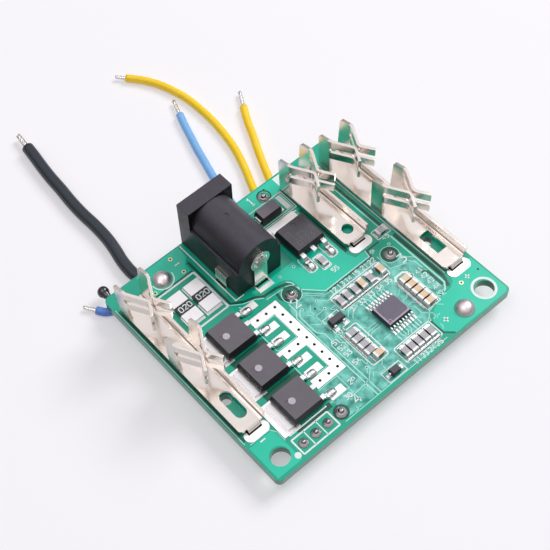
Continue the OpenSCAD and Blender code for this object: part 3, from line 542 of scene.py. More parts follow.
def edge_group() -> bpy.types.NodeTree:
    """Softened corners, and a mask along them where a finish takes its edge colour.

    Returns:
        A group that takes a Radius in millimetres, and puts out the rounded Normal and a Mask
        of the corners.
    """
    sockets = {"Normal": "NodeSocketVector", "Mask": "NodeSocketFloat"}
    wiring, entry, leave = new_group(Effect.EDGE, {"Radius": 0.08}, sockets)
    radius = wiring.math("MULTIPLY", entry.outputs["Radius"], MM)
    soft = wiring.node(NodeKind.BEVEL, {"Radius": radius}, samples=4).outputs[0]
    flat = wiring.node(NodeKind.GEOMETRY).outputs["Normal"]
    turned = wiring.node(NodeKind.VECTOR_MATH, {0: soft, 1: flat}, operation="DOT_PRODUCT")
    wiring.put(soft, leave.inputs["Normal"])
    wiring.put(wiring.span(turned.outputs["Value"], 0.98, 0.8), leave.inputs["Mask"])
    return wiring.tree


EFFECTS = {
    Effect.GRAIN: grain_group(),
    Effect.SMUDGE: smudge_group(),
    Effect.EDGE: edge_group(),
}


# Finishes


@dataclass(frozen=True)
class Finish:
    """A surface finish: its colours, gloss and fine relief.

    Colours are linear. Sizes are in millimetres.
    """

    colour: Colour
    second_colour: Colour
    edge_colour: Colour
    metallic: float = 0.0
    roughness: float = 0.45
    rougher: float = 0.12
    grain: float = 0.12
    grain_relief: float = 0.004
    bump_strength: float = 0.6
    smudge: float = 4.0
    edge_radius: float = 0.08
    edge_share: float = 0.5
    tone_contrast: float = 1.0
    coat: float = 0.0
    coat_roughness: float = 0.1
    specular: float = 0.5

    def effect(self, wiring: Wiring, effect: Effect, **values: float) -> bpy.types.Node:
        """Place a shared effect, its numbers named by socket in lower case."""
        numbers = {name.capitalize(): value for name, value in values.items()}
        return wiring.node(NodeKind.GROUP, numbers, node_tree=EFFECTS[effect])

    def tint(self, wiring: Wiring, tone: Socket) -> Socket:
        """Colour before the corners are rubbed, blended by the slow tone."""
        return wiring.blend(tone, self.colour, self.second_colour)

    def build(self, name: str) -> bpy.types.Material:
        """Make the material.

        Args:
            name: Name of the material.

        Returns:
            The new material.
        """
        material = bpy.data.materials.new(name)
        material.use_nodes = True
        wiring = Wiring(material.node_tree)
        grain = self.effect(wiring, Effect.GRAIN, size=self.grain, contrast=self.tone_contrast)
        smudge = self.effect(wiring, Effect.SMUDGE, size=self.smudge)
        edge = self.effect(wiring, Effect.EDGE, radius=self.edge_radius)
        # Corners blend towards the edge colour; on the chip resistors' tops this is painted shade.
        edge_blend = wiring.math("MULTIPLY", edge.outputs["Mask"], self.edge_share)
        dulled = wiring.math("MULTIPLY", smudge.outputs["Mask"], self.rougher)
        relief = {
            "Height": grain.outputs["Height"],
            "Normal": edge.outputs["Normal"],
            "Strength": self.bump_strength,
            "Distance": self.grain_relief * MM,
        }
        surface = {
            "Base Color": wiring.blend(
                edge_blend, self.tint(wiring, grain.outputs["Tone"]), self.edge_colour
            ),
            "Roughness": wiring.math("ADD", dulled, self.roughness),
            "Normal": wiring.node(NodeKind.BUMP, relief).outputs[0],
            "Metallic": self.metallic,
            "Specular IOR Level": self.specular,
            "Coat Weight": self.coat,
            "Coat Roughness": self.coat_roughness,
        }
        shader = next(n for n in material.node_tree.nodes if n.type == "BSDF_PRINCIPLED")
        for socket, value in surface.items():
            wiring.put(value, shader.inputs[socket])
        return material


@dataclass(frozen=True)
class ShadedSideFinish(Finish):
    """A finish whose upright faces take a colour of their own, mostly painted shade on the sides of
    packages, the jack and the chips.
    """

    # Colour of the upright faces, mostly painted shade.
    side: Colour = (0.02, 0.02, 0.02)
    turn_low: float = 0.3
    turn_high: float = 0.75

    def tint(self, wiring: Wiring, tone: Socket) -> Socket:
        """Face colour on level faces and side colour, mostly painted shade, on upright ones.

        Args:
            wiring: The material's tree.
            tone: Slow variation of the surface.

        Returns:
            The colour's socket.
        """
        normal = wiring.node(NodeKind.GEOMETRY).outputs["Normal"]
        upright = wiring.node(NodeKind.SEPARATE, {0: normal}).outputs["Z"]
        steep = wiring.math("ABSOLUTE", upright)
        level = wiring.span(steep, self.turn_low, self.turn_high)
        return wiring.blend(level, self.side, super().tint(wiring, tone))


def shade(display: Display) -> Colour:
    """Linear colour, as the shader takes it, from display values of 0 to 255."""
    parts = (c / 255 for c in display)
    return tuple(c / 12.92 if c <= 0.04045 else ((c + 0.055) / 1.055) ** 2.4 for c in parts)


def painted(
    first: Display, second: Display, edge: Display, side: Display | None = None, **more: float
) -> Finish:
    """A finish that isn't metal, from display colours and other fields; a side colour gives upright
    faces their own colour, mostly painted shade.
    """
    colours = [shade(colour) for colour in (first, second, edge)]
    return ShadedSideFinish(*colours, side=shade(side), **more) if side else Finish(*colours, **more)


def metal(colour: Colour, roughness: float, **more: float) -> Finish:
    """A bare or plated metal, from its linear colour, least roughness and other fields."""
    darker = tuple(0.93 * c for c in colour)
    lighter = tuple(min(1.0, 1.05 * c) for c in colour)
    return Finish(colour, darker, lighter, metallic=1.0, roughness=roughness, **more)


MOULDED = {
    "rougher": 0.1, "grain": 0.07, "grain_relief": 0.01, "smudge": 2.0, "edge_radius": 0.07,
    "turn_low": 0.5, "turn_high": 0.95,
}
FINISHES = {
    # Its side colour is the laminate edge, darkened with painted shade.
    "solder_mask": painted(
        (0, 156, 126), (8, 178, 148), (50, 176, 154), side=(44, 118, 92), roughness=0.2, grain=0.45,
        smudge=7.0, edge_radius=0.06, coat=0.2, coat_roughness=0.12,
    ),
    "mask_over_pour": painted(
        (4, 192, 158), (44, 212, 182), (84, 220, 194), roughness=0.2, grain=0.6, smudge=5.0,
        edge_radius=0.02, coat=0.2,
    ),
    # Mask over the fine tracks; its pale mottled tone is partly painted glare.
    "mask_over_fine_tracks_and_glare": painted(
        (0, 132, 116), (124, 216, 202), (90, 200, 182), roughness=0.3, rougher=0.2, grain=0.09,
        grain_relief=0.01, smudge=2.5, edge_radius=0.02, coat=0.2, tone_contrast=2.2,
    ),
    "mask_over_track": painted(
        (156, 230, 216), (186, 240, 230), (200, 242, 234), roughness=0.24, grain=0.3,
        edge_radius=0.02, coat=0.2,
    ),
    # Dark mask of the pours' gaps; the same finish paints the shade between the switches.
    "mask_over_gap_and_shade": painted(
        (0, 76, 58), (0, 90, 70), (10, 106, 84), roughness=0.26, grain=0.3, edge_radius=0.02,
        coat=0.1,
    ),
    "white_print": painted(
        (242, 247, 246), (222, 238, 234), (246, 250, 248), roughness=0.5, grain=0.08, smudge=1.2,
        edge_radius=0.01,
    ),
    "chip_caps": metal(
        (0.64, 0.63, 0.63), 0.34, grain=0.5, grain_relief=0.003, smudge=0.6, edge_radius=0.06,
    ),
    "tinned_copper": metal(
        (0.86, 0.83, 0.835), 0.44, rougher=0.08, grain=0.9, grain_relief=0.0006, smudge=2.4,
        edge_radius=0.05,
    ),
    "nickel_sheet": metal(
        (0.81, 0.74, 0.69), 0.18, rougher=0.14, grain=0.8, grain_relief=0.0012, smudge=3.0,
        edge_radius=0.07,
    ),
    "tinned_brass": metal((0.84, 0.8, 0.75), 0.2, grain=0.6, grain_relief=0.0015, smudge=1.5),
    "tinned_leads": metal(
        (0.86, 0.835, 0.845), 0.28, rougher=0.14, grain=0.7, grain_relief=0.0015, smudge=1.2,
        edge_radius=0.05,
    ),
    "solder": metal(
        (0.74, 0.65, 0.67), 0.38, rougher=0.14, grain=0.8, grain_relief=0.012, smudge=0.9,
        edge_radius=0.06,
    ),
    "dark_solder": metal(
        (0.42, 0.40, 0.43), 0.12, rougher=0.1, grain=0.7, grain_relief=0.015, smudge=0.6,
    ),
    "soldered_joint": metal(
        (0.66, 0.65, 0.655), 0.28, rougher=0.15, grain=0.6, grain_relief=0.003, smudge=0.7,
    ),
    "lead_strands": metal((0.80, 0.77, 0.75), 0.26, grain=0.1, smudge=0.5),
    "bare_ring": metal((0.86, 0.84, 0.48), 0.3, grain=0.1, grain_relief=0.003),
    # Dark discs in the holes: painted shade inside them.
    "via_hole": painted(
        (28, 44, 40), (40, 60, 54), (50, 70, 64), roughness=0.6, grain=0.1, edge_radius=0.01,
    ),
    # The jack's lighter top and dark side colour are painted light and painted shade on one black
    # moulding.
    "black_moulding": painted(
        (64, 61, 70), (76, 72, 82), (86, 82, 92), side=(22, 22, 28), roughness=0.36, rougher=0.14,
        grain=0.09, grain_relief=0.006, smudge=3.5, edge_radius=0.12, edge_share=0.35, specular=0.3,
        turn_low=0.25, turn_high=1.0,
    ),
    # Side colour: painted shade on the switch packages' sides.
    "package_epoxy": painted(
        (92, 86, 94), (102, 96, 104), (112, 106, 114), side=(38, 35, 41), roughness=0.52, **MOULDED,
    ),
    # Side colour: painted shade on the charge switch's sides.
    "charge_switch_epoxy": painted(
        (68, 64, 72), (78, 73, 82), (92, 88, 96), side=(28, 27, 32), roughness=0.52, **MOULDED,
    ),
    # Side colour: painted shade on the diode's sides.
    "diode_epoxy": painted(
        (118, 110, 120), (128, 120, 130), (136, 130, 138), side=(26, 27, 30), roughness=0.5,
        **MOULDED,
    ),
    # Side colour: painted shade on the controller's sides.
    "controller_epoxy": painted(
        (168, 154, 174), (180, 166, 184), (190, 176, 192), side=(40, 38, 46), roughness=0.4,
        rougher=0.1, grain=0.06, grain_relief=0.006, smudge=1.6, edge_radius=0.05, turn_low=0.5,
        turn_high=0.95,
    ),
    "controller_face": painted(
        (92, 86, 102), (108, 100, 118), (124, 116, 134), roughness=0.42, rougher=0.1, grain=0.06,
        grain_relief=0.006, smudge=1.6, edge_radius=0.03,
    ),
    "package_mark": painted(
        (178, 170, 182), (192, 184, 196), (206, 202, 210), roughness=0.6, grain=0.06,
        grain_relief=0.006, edge_radius=0.02,
    ),
    "faint_mark": painted(
        (88, 84, 93), (100, 95, 104), (112, 108, 116), roughness=0.65, grain=0.06,
        grain_relief=0.006, edge_radius=0.02,
    ),
    # Its dark edge and side colours are painted shade round the chips' light tops.
    "resistor_coating": painted(
        (168, 164, 170), (194, 189, 194), (96, 94, 98), side=(44, 48, 48), roughness=0.3,
        grain=0.05, smudge=0.6, edge_radius=0.06, turn_low=0.5, turn_high=0.9,
    ),
    "shunt_coating": painted(
        (44, 40, 44), (56, 50, 54), (84, 76, 78), roughness=0.4, grain_relief=0.006, smudge=0.8,
        edge_radius=0.05,
    ),
    # Its brown side colour is painted shade on the chips' sides.
    "capacitor_ceramic": painted(
        (222, 188, 152), (240, 214, 184), (240, 222, 196), side=(110, 74, 50), roughness=0.34,
        grain=0.1, smudge=0.6, edge_radius=0.06, turn_low=0.4, turn_high=0.9,
    ),
    "bead_epoxy": painted(
        (26, 26, 32), (36, 36, 42), (52, 52, 58), roughness=0.12, rougher=0.1, grain=0.4,
        grain_relief=0.01, smudge=1.5, coat=0.5,
    ),
}
INSULATIONS = {
    "black": ((30, 37, 48), (38, 46, 58), (60, 66, 76), 0.01),
    "yellow": ((254, 208, 16), (255, 218, 46), (255, 224, 90), 0.008),
    "light_blue": ((118, 178, 238), (136, 190, 242), (160, 204, 244), 0.008),
    "blue": ((84, 130, 214), (104, 148, 224), (130, 170, 230), 0.008),
}
for hue, (*colours, relief) in INSULATIONS.items():
    FINISHES[f"{hue}_insulation"] = painted(
        *colours, roughness=0.36, grain=0.25, smudge=3.0, grain_relief=relief
    )
MATERIALS = {key: finish.build(key) for key, finish in FINISHES.items()}
OWN_FINISH = {
    "charge_switch_case": "charge_switch_epoxy",
    "diode_case": "diode_epoxy",
    "controller_case": "controller_epoxy",
    "signal_part_cases": "charge_switch_epoxy",
    "shunt_bodies": "shunt_coating",
    "chip_end_caps": "chip_caps",
}


def dress_nodes() -> None:
    """Give every CAD node that stays its own finish, or the finish of its slot."""
    slots = {part["node"]: part["material_slot"] for part in frame["record"]["subparts"]}
    for name, node in frame["nodes"].items():
        for i in range(len(node.data.materials)):
            node.data.materials[i] = MATERIALS[OWN_FINISH.get(name, slots[name])]
    LOG.info("dressed %d nodes", len(frame["nodes"]))


# Camera, floor and light


@dataclass(frozen=True)
class Lamp:
    """A soft square lamp that shines at the board, in millimetres and watts."""

    name: str
    spot: Place
    size: float
    watts: float

    def hang(self, aim: Vector) -> None:
        """Add the lamp to the scene.

        Args:
            aim: Point that it shines at.
        """
        lamp = bpy.data.lights.new(self.name, "AREA")
        lamp.size = self.size * MM
        lamp.energy = self.watts
        made = bpy.data.objects.new(self.name, lamp)
        spot = Vector(self.spot)
        made.location = spot * MM
        made.rotation_euler = (aim - spot).to_track_quat("-Z", "Y").to_euler()
        bpy.context.scene.collection.objects.link(made)


@dataclass
class Studio:
    """Camera, floor, lamps and surroundings."""

    camera_spot: Place = (-69.03, -74.47, 165.74)
    view_along: Place = (0.27866, 0.42558, -0.86095)
    view_right: Place = (0.76375, -0.64170, -0.07001)
    lens: float = 74.78
    shift: Point = (0.136, 0.093)
    sensor_width: float = 36.0
    floor_half: float = 1500.0
    floor_colour: Colour = (0.955, 0.938, 0.968)
    floor_glow: float = 0.4
    room_glow: float = 0.55
    aim_height: float = 5.0
    lamps: tuple[Lamp, ...] = (
        Lamp("key_lamp", (690, 20, 680), 440, 5.6),
        Lamp("fill_lamp", (-160, 60, 700), 420, 0.9),
    )

    def place_camera(self) -> None:
        """Add the camera and make it the scene's own."""
        lens = bpy.data.cameras.new("camera")
        lens.lens = self.lens
        lens.sensor_width = self.sensor_width
        lens.shift_x, lens.shift_y = self.shift
        lens.clip_start, lens.clip_end = 0.01, 10.0
        camera = bpy.data.objects.new("camera", lens)
        along, right = Vector(self.view_along).normalized(), Vector(self.view_right)
        right = (right - along * right.dot(along)).normalized()
        turn = Matrix((right, right.cross(along), -along)).transposed()
        spot = Matrix.Translation(Vector(self.camera_spot) * MM)
        camera.matrix_world = spot @ turn.to_4x4()
        bpy.context.scene.collection.objects.link(camera)
        bpy.context.scene.camera = camera

    def lay_floor(self) -> None:
        """Add the pale floor that keeps the board's shadow."""
        mesh = bpy.data.meshes.new("floor")
        half = self.floor_half * MM
        corners = [(-half, -half, 0), (half, -half, 0), (half, half, 0), (-half, half, 0)]
        mesh.from_pydata(corners, [], [(0, 1, 2, 3)])
        floor = bpy.data.objects.new("floor", mesh)
        bpy.context.scene.collection.objects.link(floor)
        material = bpy.data.materials.new("pale_floor")
        material.use_nodes = True
        material.node_tree.nodes.clear()
        wiring = Wiring(material.node_tree)
        colour = (*self.floor_colour, 1.0)
        diffuse = wiring.node(NodeKind.DIFFUSE, {"Color": colour}).outputs[0]
        glow = wiring.node(NodeKind.EMISSION, {"Color": colour, "Strength": 1.0}).outputs[0]
        rays = wiring.node(NodeKind.LIGHT_PATH)
        seen = wiring.math("MAXIMUM", rays.outputs["Is Camera Ray"], rays.outputs["Is Glossy Ray"])
        share = wiring.math("MULTIPLY", seen, self.floor_glow)
        mixed = wiring.node(NodeKind.MIX_SHADER, {0: share, 1: diffuse, 2: glow}).outputs[0]
        wiring.node(NodeKind.MATERIAL_OUTPUT, {"Surface": mixed})
        mesh.materials.append(material)

    def surround(self) -> None:
        """Add the room: pale for the camera, and a soft box with dark walls in reflections."""
        world = bpy.data.worlds.new("studio")
        bpy.context.scene.world = world
        world.use_nodes = True
        world.node_tree.nodes.clear()
        wiring = Wiring(world.node_tree)
        rays = wiring.node(NodeKind.LIGHT_PATH)
        seen = rays.outputs["Is Camera Ray"]
        way = wiring.node(NodeKind.COORDINATE).outputs["Generated"]
        ceiling = wiring.span(wiring.node(NodeKind.SEPARATE, {0: way}).outputs["Z"], 0.25, 0.8)
        waves = {"Vector": way, "Scale": 0.55, "Distortion": 1.5, "Phase Offset": 0.6}
        walls = wiring.node(NodeKind.WAVE, waves).outputs["Fac"]
        tone = wiring.blend(walls, (0.07, 0.06, 0.055), (0.34, 0.31, 0.30))
        room = wiring.blend(ceiling, tone, (1.0, 0.99, 1.02))
        colour = wiring.blend(seen, room, self.floor_colour)
        level = wiring.span(rays.outputs["Is Glossy Ray"], 0.0, 1.0, self.room_glow)
        light = wiring.node(NodeKind.BACKGROUND, {"Color": colour, "Strength": level}).outputs[0]
        view = wiring.node(NodeKind.BACKGROUND, {"Color": colour, "Strength": 1.0}).outputs[0]
        mixed = wiring.node(NodeKind.MIX_SHADER, {0: seen, 1: light, 2: view}).outputs[0]
        wiring.node(NodeKind.WORLD_OUTPUT, {"Surface": mixed})

    def build(self) -> None:
        """Set up the whole studio."""
        bpy.context.scene.view_settings.view_transform = "Standard"
        self.place_camera()
        self.lay_floor()
        self.surround()
        for lamp in self.lamps:
            lamp.hang(Vector((0, 0, self.aim_height)))


# Cell leads


@dataclass(frozen=True)
class Lead:
    """One cell lead: insulation along a route, and twisted strands at its cut end.

    It comes down from the board by the heights of its descent and lies on the floor after them.
    """

    node: str
    diameter: float
    finish: str
    descent: tuple[float, ...]
    route: Path
    route_steps: int = 5
    sides: int = 20
    strand_count: int = 6
    strand_sides: int = 8
    strand_turns: float = 0.9
    strand_steps: int = 14
    bundle_share: float = 0.26
    strand_share: float = 0.42
    tip_share: float = 0.97
    gather: float = 0.25
    stagger: float = 0.03

    def insulate(self) -> tuple[Model, list[Vector]]:
        """Make the insulation.

        Returns:
            The piece and the points that it follows, in millimetres.
        """
        radius = self.diameter / 2
        heights = [*self.descent, *[radius] * (len(self.route) - len(self.descent))]
        spots = [Vector((x, y, z)) for (x, y), z in zip(self.route, heights)]
        path = smooth_route(spots, self.route_steps)
        sketch = Sketch()
        sketch.tube(path, radius, self.sides)
        piece = sketch.piece(self.node + "_insulation", self.finish, self.finish, smooth=True)
        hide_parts(self.node)
        return piece, path

    def strands(self, path: list[Vector]) -> Model:
        """Make the bare strands that stick out of the cut end.

        Args:
            path: Middle line of the insulation.

        Returns:
            The piece.
        """
        end = path[-1]
        tip = node_block(self.node + "_tip")
        along = (end - path[-2]).normalized()
        across, up = frames_along([path[-2], end])[-1]
        reach = self.tip_share * max(abs((c - end).dot(along)) for c in (tip.low, tip.high))
        bundle = self.bundle_share * self.diameter
        strand = bundle * self.strand_share
        sketch = Sketch()
        for k in range(self.strand_count + 1):
            offset = 0.0 if k == self.strand_count else bundle - strand
            length = reach * (1 - self.stagger * (k % 3))
            line = []
            for share in (i / self.strand_steps for i in range(self.strand_steps + 1)):
                turn = 2 * math.pi * (k / self.strand_count + self.strand_turns * share)
                spoke = math.cos(turn) * across + math.sin(turn) * up
                drift = offset * (1 - self.gather * share) * spoke
                line.append(end + along * (length * share) + drift)
            sketch.tube(line, strand, self.strand_sides)
        slot = "lead_strands"
        piece = sketch.piece(self.node + "_strands", slot, slot, smooth=True)
        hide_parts(self.node + "_tip")
        return piece

    def build(self) -> None:
        piece, path = self.insulate()
        strands = self.strands(path)


LEADS = (
    Lead("black_lead", 2.3, "black_insulation", (1.3, 1.28, 1.22, 1.18), (
        (-16.4, 18.9), (-16.7, 19.8), (-17.2, 21.4), (-17.6, 23), (-17.4, 26), (-16.8, 29),
        (-16.4, 32), (-16.3, 35.5), (-16.4, 39), (-16.3, 42.5), (-16, 46), (-15.8, 49.5),
        (-15.5, 52.5), (-15.1, 55.5), (-14.8, 58.2),
    )),
    Lead("yellow_lead_1", 1.5, "yellow_insulation", (1.5, 1.4, 1.1, 0.8), (
        (8.9, 20.6), (9.3, 21.6), (10.1, 23.4), (11.3, 26), (12.5, 29), (13.6, 32.5), (14.3, 36),
        (14.8, 40), (14.9, 44), (14.7, 47.5), (14, 50.8), (13.1, 53.6), (11.9, 56), (10.7, 57.8),
        (9.5, 59.3),
    )),
    Lead("light_blue_lead", 1.5, "light_blue_insulation", (1.5, 1.4, 1.2, 0.9), (
        (0.2, 0.9), (1.1, 1.8), (2.2, 3.4), (3.1, 6), (3.6, 9.5), (3.9, 13.5), (4.2, 17.5),
        (4.7, 21.5), (5.4, 25.5), (6.3, 29.5), (7.3, 33), (8.3, 36.5), (9.3, 39.5), (10.2, 42.3),
        (11.2, 45),
    )),
    Lead("yellow_lead_2", 1.5, "yellow_insulation", (1.5, 1.4, 1.2, 0.9), (
        (14.2, -4), (13.3, -3.1), (12, -1.3), (11, 1.5), (10.6, 5), (10.5, 9), (10.6, 13),
        (11.1, 16.5), (12.2, 19.6), (13.4, 22.2), (14.8, 25.4), (16.4, 28.8), (18, 32),
        (19.5, 35.2), (21.2, 38.2),
    )),
    Lead("blue_lead", 1.5, "blue_insulation", (1.5, 1.4, 1.1, 0.8), (
        (-10.6, -19.4), (-10.8, -18), (-11.2, -15), (-11.9, -11), (-12.9, -7), (-14.2, -3),
        (-15.6, 1), (-16.9, 5), (-18, 9), (-18.8, 12.5), (-19.3, 15), (-20.1, 17), (-21.9, 18.6),
        (-24.1, 19.2), (-25.7, 20), (-26.7, 21.4),
    )),
)


# Board surface: pours, tracks, vias and print


def rounded(left: float, front: float, right: float, back: float, radius: float) -> Path:
    """Outline of a rectangle with rounded corners, closed on itself.

    Args:
        left: Its lowest x.
        front: Its lowest y.
        right: Its highest x.
        back: Its highest y.
        radius: Radius of its corners.

    Returns:
        The points, the first one repeated at the end.
    """
    low_x, low_y, high_x, high_y = left + radius, front + radius, right - radius, back - radius
    outline = []
    middles = ((high_x, high_y), (low_x, high_y), (low_x, low_y), (high_x, low_y))
    for corner, (x, y) in enumerate(middles):
        for k in range(CORNER_STEPS + 1):
            turn = math.pi / 2 * (corner + k / CORNER_STEPS)
            outline.append((x + radius * math.cos(turn), y + radius * math.sin(turn)))
    return (*outline, outline[0])


def ring_line(x: float, y: float, radius: float, sides: int = 28) -> Path:
    """Closed round outline, its first point repeated at the end."""
    turns = [2 * math.pi * (k % sides) / sides for k in range(sides + 1)]
    return tuple((x + radius * math.cos(t), y + radius * math.sin(t)) for t in turns)


POURS = (
    (
        (19.4, 28.3), (19.4, 27.9), (21.2, 27.1), (24.8, 26.6), (25.9, 25.6), (26.1, 23.2),
        (28.9, 20.35), (38.6, 20.35), (38.6, 21.7), (36.9, 21.7), (36.3, 23.2), (36.3, 35.4),
        (28.9, 35.4), (28.9, 28.3),
    ),
    ((27.2, 36.4), (36.9, 41.1), (42.2, 43.7), (27.2, 43.7)),
    ((6.9, 38.6), (14.8, 38.6), (14.8, 40.2), (16.0, 41.2), (16.0, 43.7), (6.9, 43.7)),
)
PIERCED_POURS = {
    (48.1, 3.2): (
        (45.8, 8.9), (50.9, 8.9), (50.9, 0.9), (50.3, 0.35), (38.8, 0.35), (37.4, 1.7),
        (37.4, 4.2), (39.2, 5.8), (41.4, 6.7), (44.2, 6.9), (45.4, 7.6),
    ),
    (3.1, 3.2): ((0.4, 0.6), (5.3, 0.6), (5.3, 7.3), (0.4, 7.3)),
}
# Outline of the fine track field; its pale mottled finish is partly painted glare on the mask.
FINE_TRACK_AND_GLARE_FIELD = (
    (14.9, 4.6), (15.6, 4.1), (14.4, 1.1), (24.0, 0.9), (36.4, 0.9), (37.0, 4.6), (38.7, 6.2),
    (43.9, 7.2), (43.9, 15.0), (42.9, 17.0), (39.9, 17.3), (39.0, 19.9), (28.6, 19.9),
    (25.0, 23.2), (22.6, 23.2), (21.5, 20.6), (21.3, 7.8), (15.0, 7.5),
)
GAP_LINES = {
    0.7: (((36.6, 35.4), (36.7, 23.6)),),
    0.6: (((44.9, 20.8), (44.9, 9.2), (44.2, 7.4)),),
    0.55: (
        ((37.3, 40.9), (37.3, 36.0)), ring_line(24.1, 23.6, 1.35),
    ),
    0.5: (
        (
            (15.4, 40.2), (15.3, 29.0), (17.1, 27.9), (19.2, 27.2), (20.4, 26.4), (23.0, 26.2),
            (24.7, 25.7), (25.4, 24.9),
        ),
        ((44.6, 22.0), (44.6, 40.4)), ((42.9, 12.4), (43.7, 11.6), (43.7, 8.2)),
        ring_line(41.5, 18.3, 1.3),
    ),
    0.45: (
        ((22.4, 25.6), (22.1, 24.2), (22.6, 23.0)), ((0.65, 8.6), (0.65, 40.4)),
    ),
    0.4: (((5.8, 12.2), (6.0, 27.6)),),
    0.3: (
        ((28.9, 20.0), (38.9, 20.0), (39.2, 21.4), (41.9, 21.4)),
        ((37.2, 4.6), (37.2, 1.8), (38.6, 0.5)), ring_line(34.1, 41.8, 1.2),
        ring_line(15.2, 2.4, 1.2),
    ),
    0.22: (((14.9, 38.4), (6.6, 38.4), (6.6, 41.0)),),
}
# Dark slabs between the three switches: painted shade in the narrow gaps.
SWITCH_GAP_SHADE = tuple(
    ((7.9, front), (14.9, front), (14.9, back), (7.9, back))
    for front, back in ((3.95, 4.95), (11.25, 12.75), (19.05, 20.55))
)
TRACK_LINES = {
    0.3: (((44.25, 20.9), (44.25, 8.4), (43.3, 7.3), (41.6, 7.0)),),
    0.22: (
        ((21.55, 0.8), (21.55, 19.6), (22.4, 20.6), (22.4, 22.4)),
        ((25.0, 26.0), (25.6, 25.2), (25.7, 23.4), (28.7, 20.3), (38.7, 20.3), (38.9, 21.6)),
    ),
    0.2: (
        (
            (22.25, 0.8), (22.25, 12.0), (22.9, 12.7), (22.9, 14.4), (22.1, 15.4), (22.1, 19.4),
            (23.0, 20.4),
        ),
    ),
    0.16: (
        ((44.1, 22.4), (44.1, 34.5), (43.0, 36.6)), ((37.0, 4.8), (38.4, 6.1), (40.4, 6.5)),
        ((15.9, 27.5), (16.3, 26.9)),
        ((15.0, 38.0), (15.0, 28.9), (16.9, 27.6), (19.0, 26.9), (20.2, 26.1)),
    ),
    0.14: (
        ((0.3, 8.2), (0.3, 41.0)), rounded(15.1, 9.8, 19.3, 14.9, 0.3),
        rounded(15.1, 17.0, 19.3, 22.5, 0.3), ((15.1, 4.7), (19.1, 4.7), (19.1, 7.5), (15.1, 7.5)),
        ((24.1, 14.2), (24.1, 19.0), (24.9, 20.0)), ((20.3, 25.6), (23.1, 25.4), (24.3, 25.3)),
        ((42.9, 15.4), (43.6, 14.2), (43.6, 12.8)), ((39.6, 19.4), (39.6, 16.2), (42.4, 15.2)),
        ((23.5, 11.6), (24.5, 10.8), (24.5, 6.2), (22.9, 4.6)),
        ((23.0, 8.0), (24.0, 7.0), (24.0, 5.0), (22.4, 3.6), (18.0, 3.2)),
        ((14.6, 0.75), (24.0, 0.75), (37.0, 0.75)),
        ((0.9, 7.6), (4.8, 7.6), (5.5, 6.6), (5.5, 4.6)), ring_line(24.1, 23.6, 1.75),
        ring_line(41.5, 18.3, 1.65), ring_line(42.4, 7.3, 0.42),
    ),
    0.12: (
        ((22.9, 9.0), (24.1, 10.2), (24.1, 13.4)), ((28.3, 13.4), (29.5, 14.6), (29.5, 15.2)),
        ((22.5, 17.2), (23.6, 16.1), (24.3, 16.1)),
        ((23.1, 18.9), (24.2, 17.8), (26.0, 17.8), (27.4, 16.6)), ((36.9, 11.6), (37.9, 12.4)),
        ((38.4, 5.6), (37.3, 6.6), (37.3, 8.4)),
    ),
    0.11: (
        ((25.5, 22.6), (28.3, 19.7), (30.2, 19.7)), ((25.6, 21.9), (28.0, 19.5)),
        ((26.3, 19.8), (27.6, 18.6), (28.4, 18.6)), ((25.2, 18.4), (26.6, 17.2), (28.2, 17.2)),
        ((30.6, 10.4), (28.9, 10.4), (28.2, 11.1)), ((30.6, 9.9), (28.4, 9.9), (27.8, 9.3)),
        ((30.6, 9.4), (28.6, 9.4), (27.9, 8.6)), ((36.8, 10.4), (37.6, 10.4), (38.3, 11.2)),
        ((36.8, 9.2), (37.5, 9.2), (38.3, 8.2)),
    ),
}
MASKED_VIAS = (
    (37.2, 4.9), (26.2, 19.8), (23.3, 20.2), (41.4, 12.9), (42.4, 7.3), (28.0, 27.4),
    (24.9, 27.4), (23.9, 11.0), (23.6, 5.4), (38.1, 13.4), (42.9, 19.9), (39.9, 20.7),
    (20.6, 5.0), (26.2, 17.9), (43.2, 10.1), (30.2, 14.6), (21.2, 3.1),
)
BARE_VIAS = ((13.6, 42.7), (13.7, 39.2), (7.4, 39.1), (46.15, 6.4))
EMPTY_PADS = tuple(rounded(36.47, y, 37.03, y + 0.72, 0.15)[:-1] for y in (17.59, 15.79))
PLAIN_HOLES = ((25.0, 18.9), (50.1, 6.4), (35.0, 42.9))
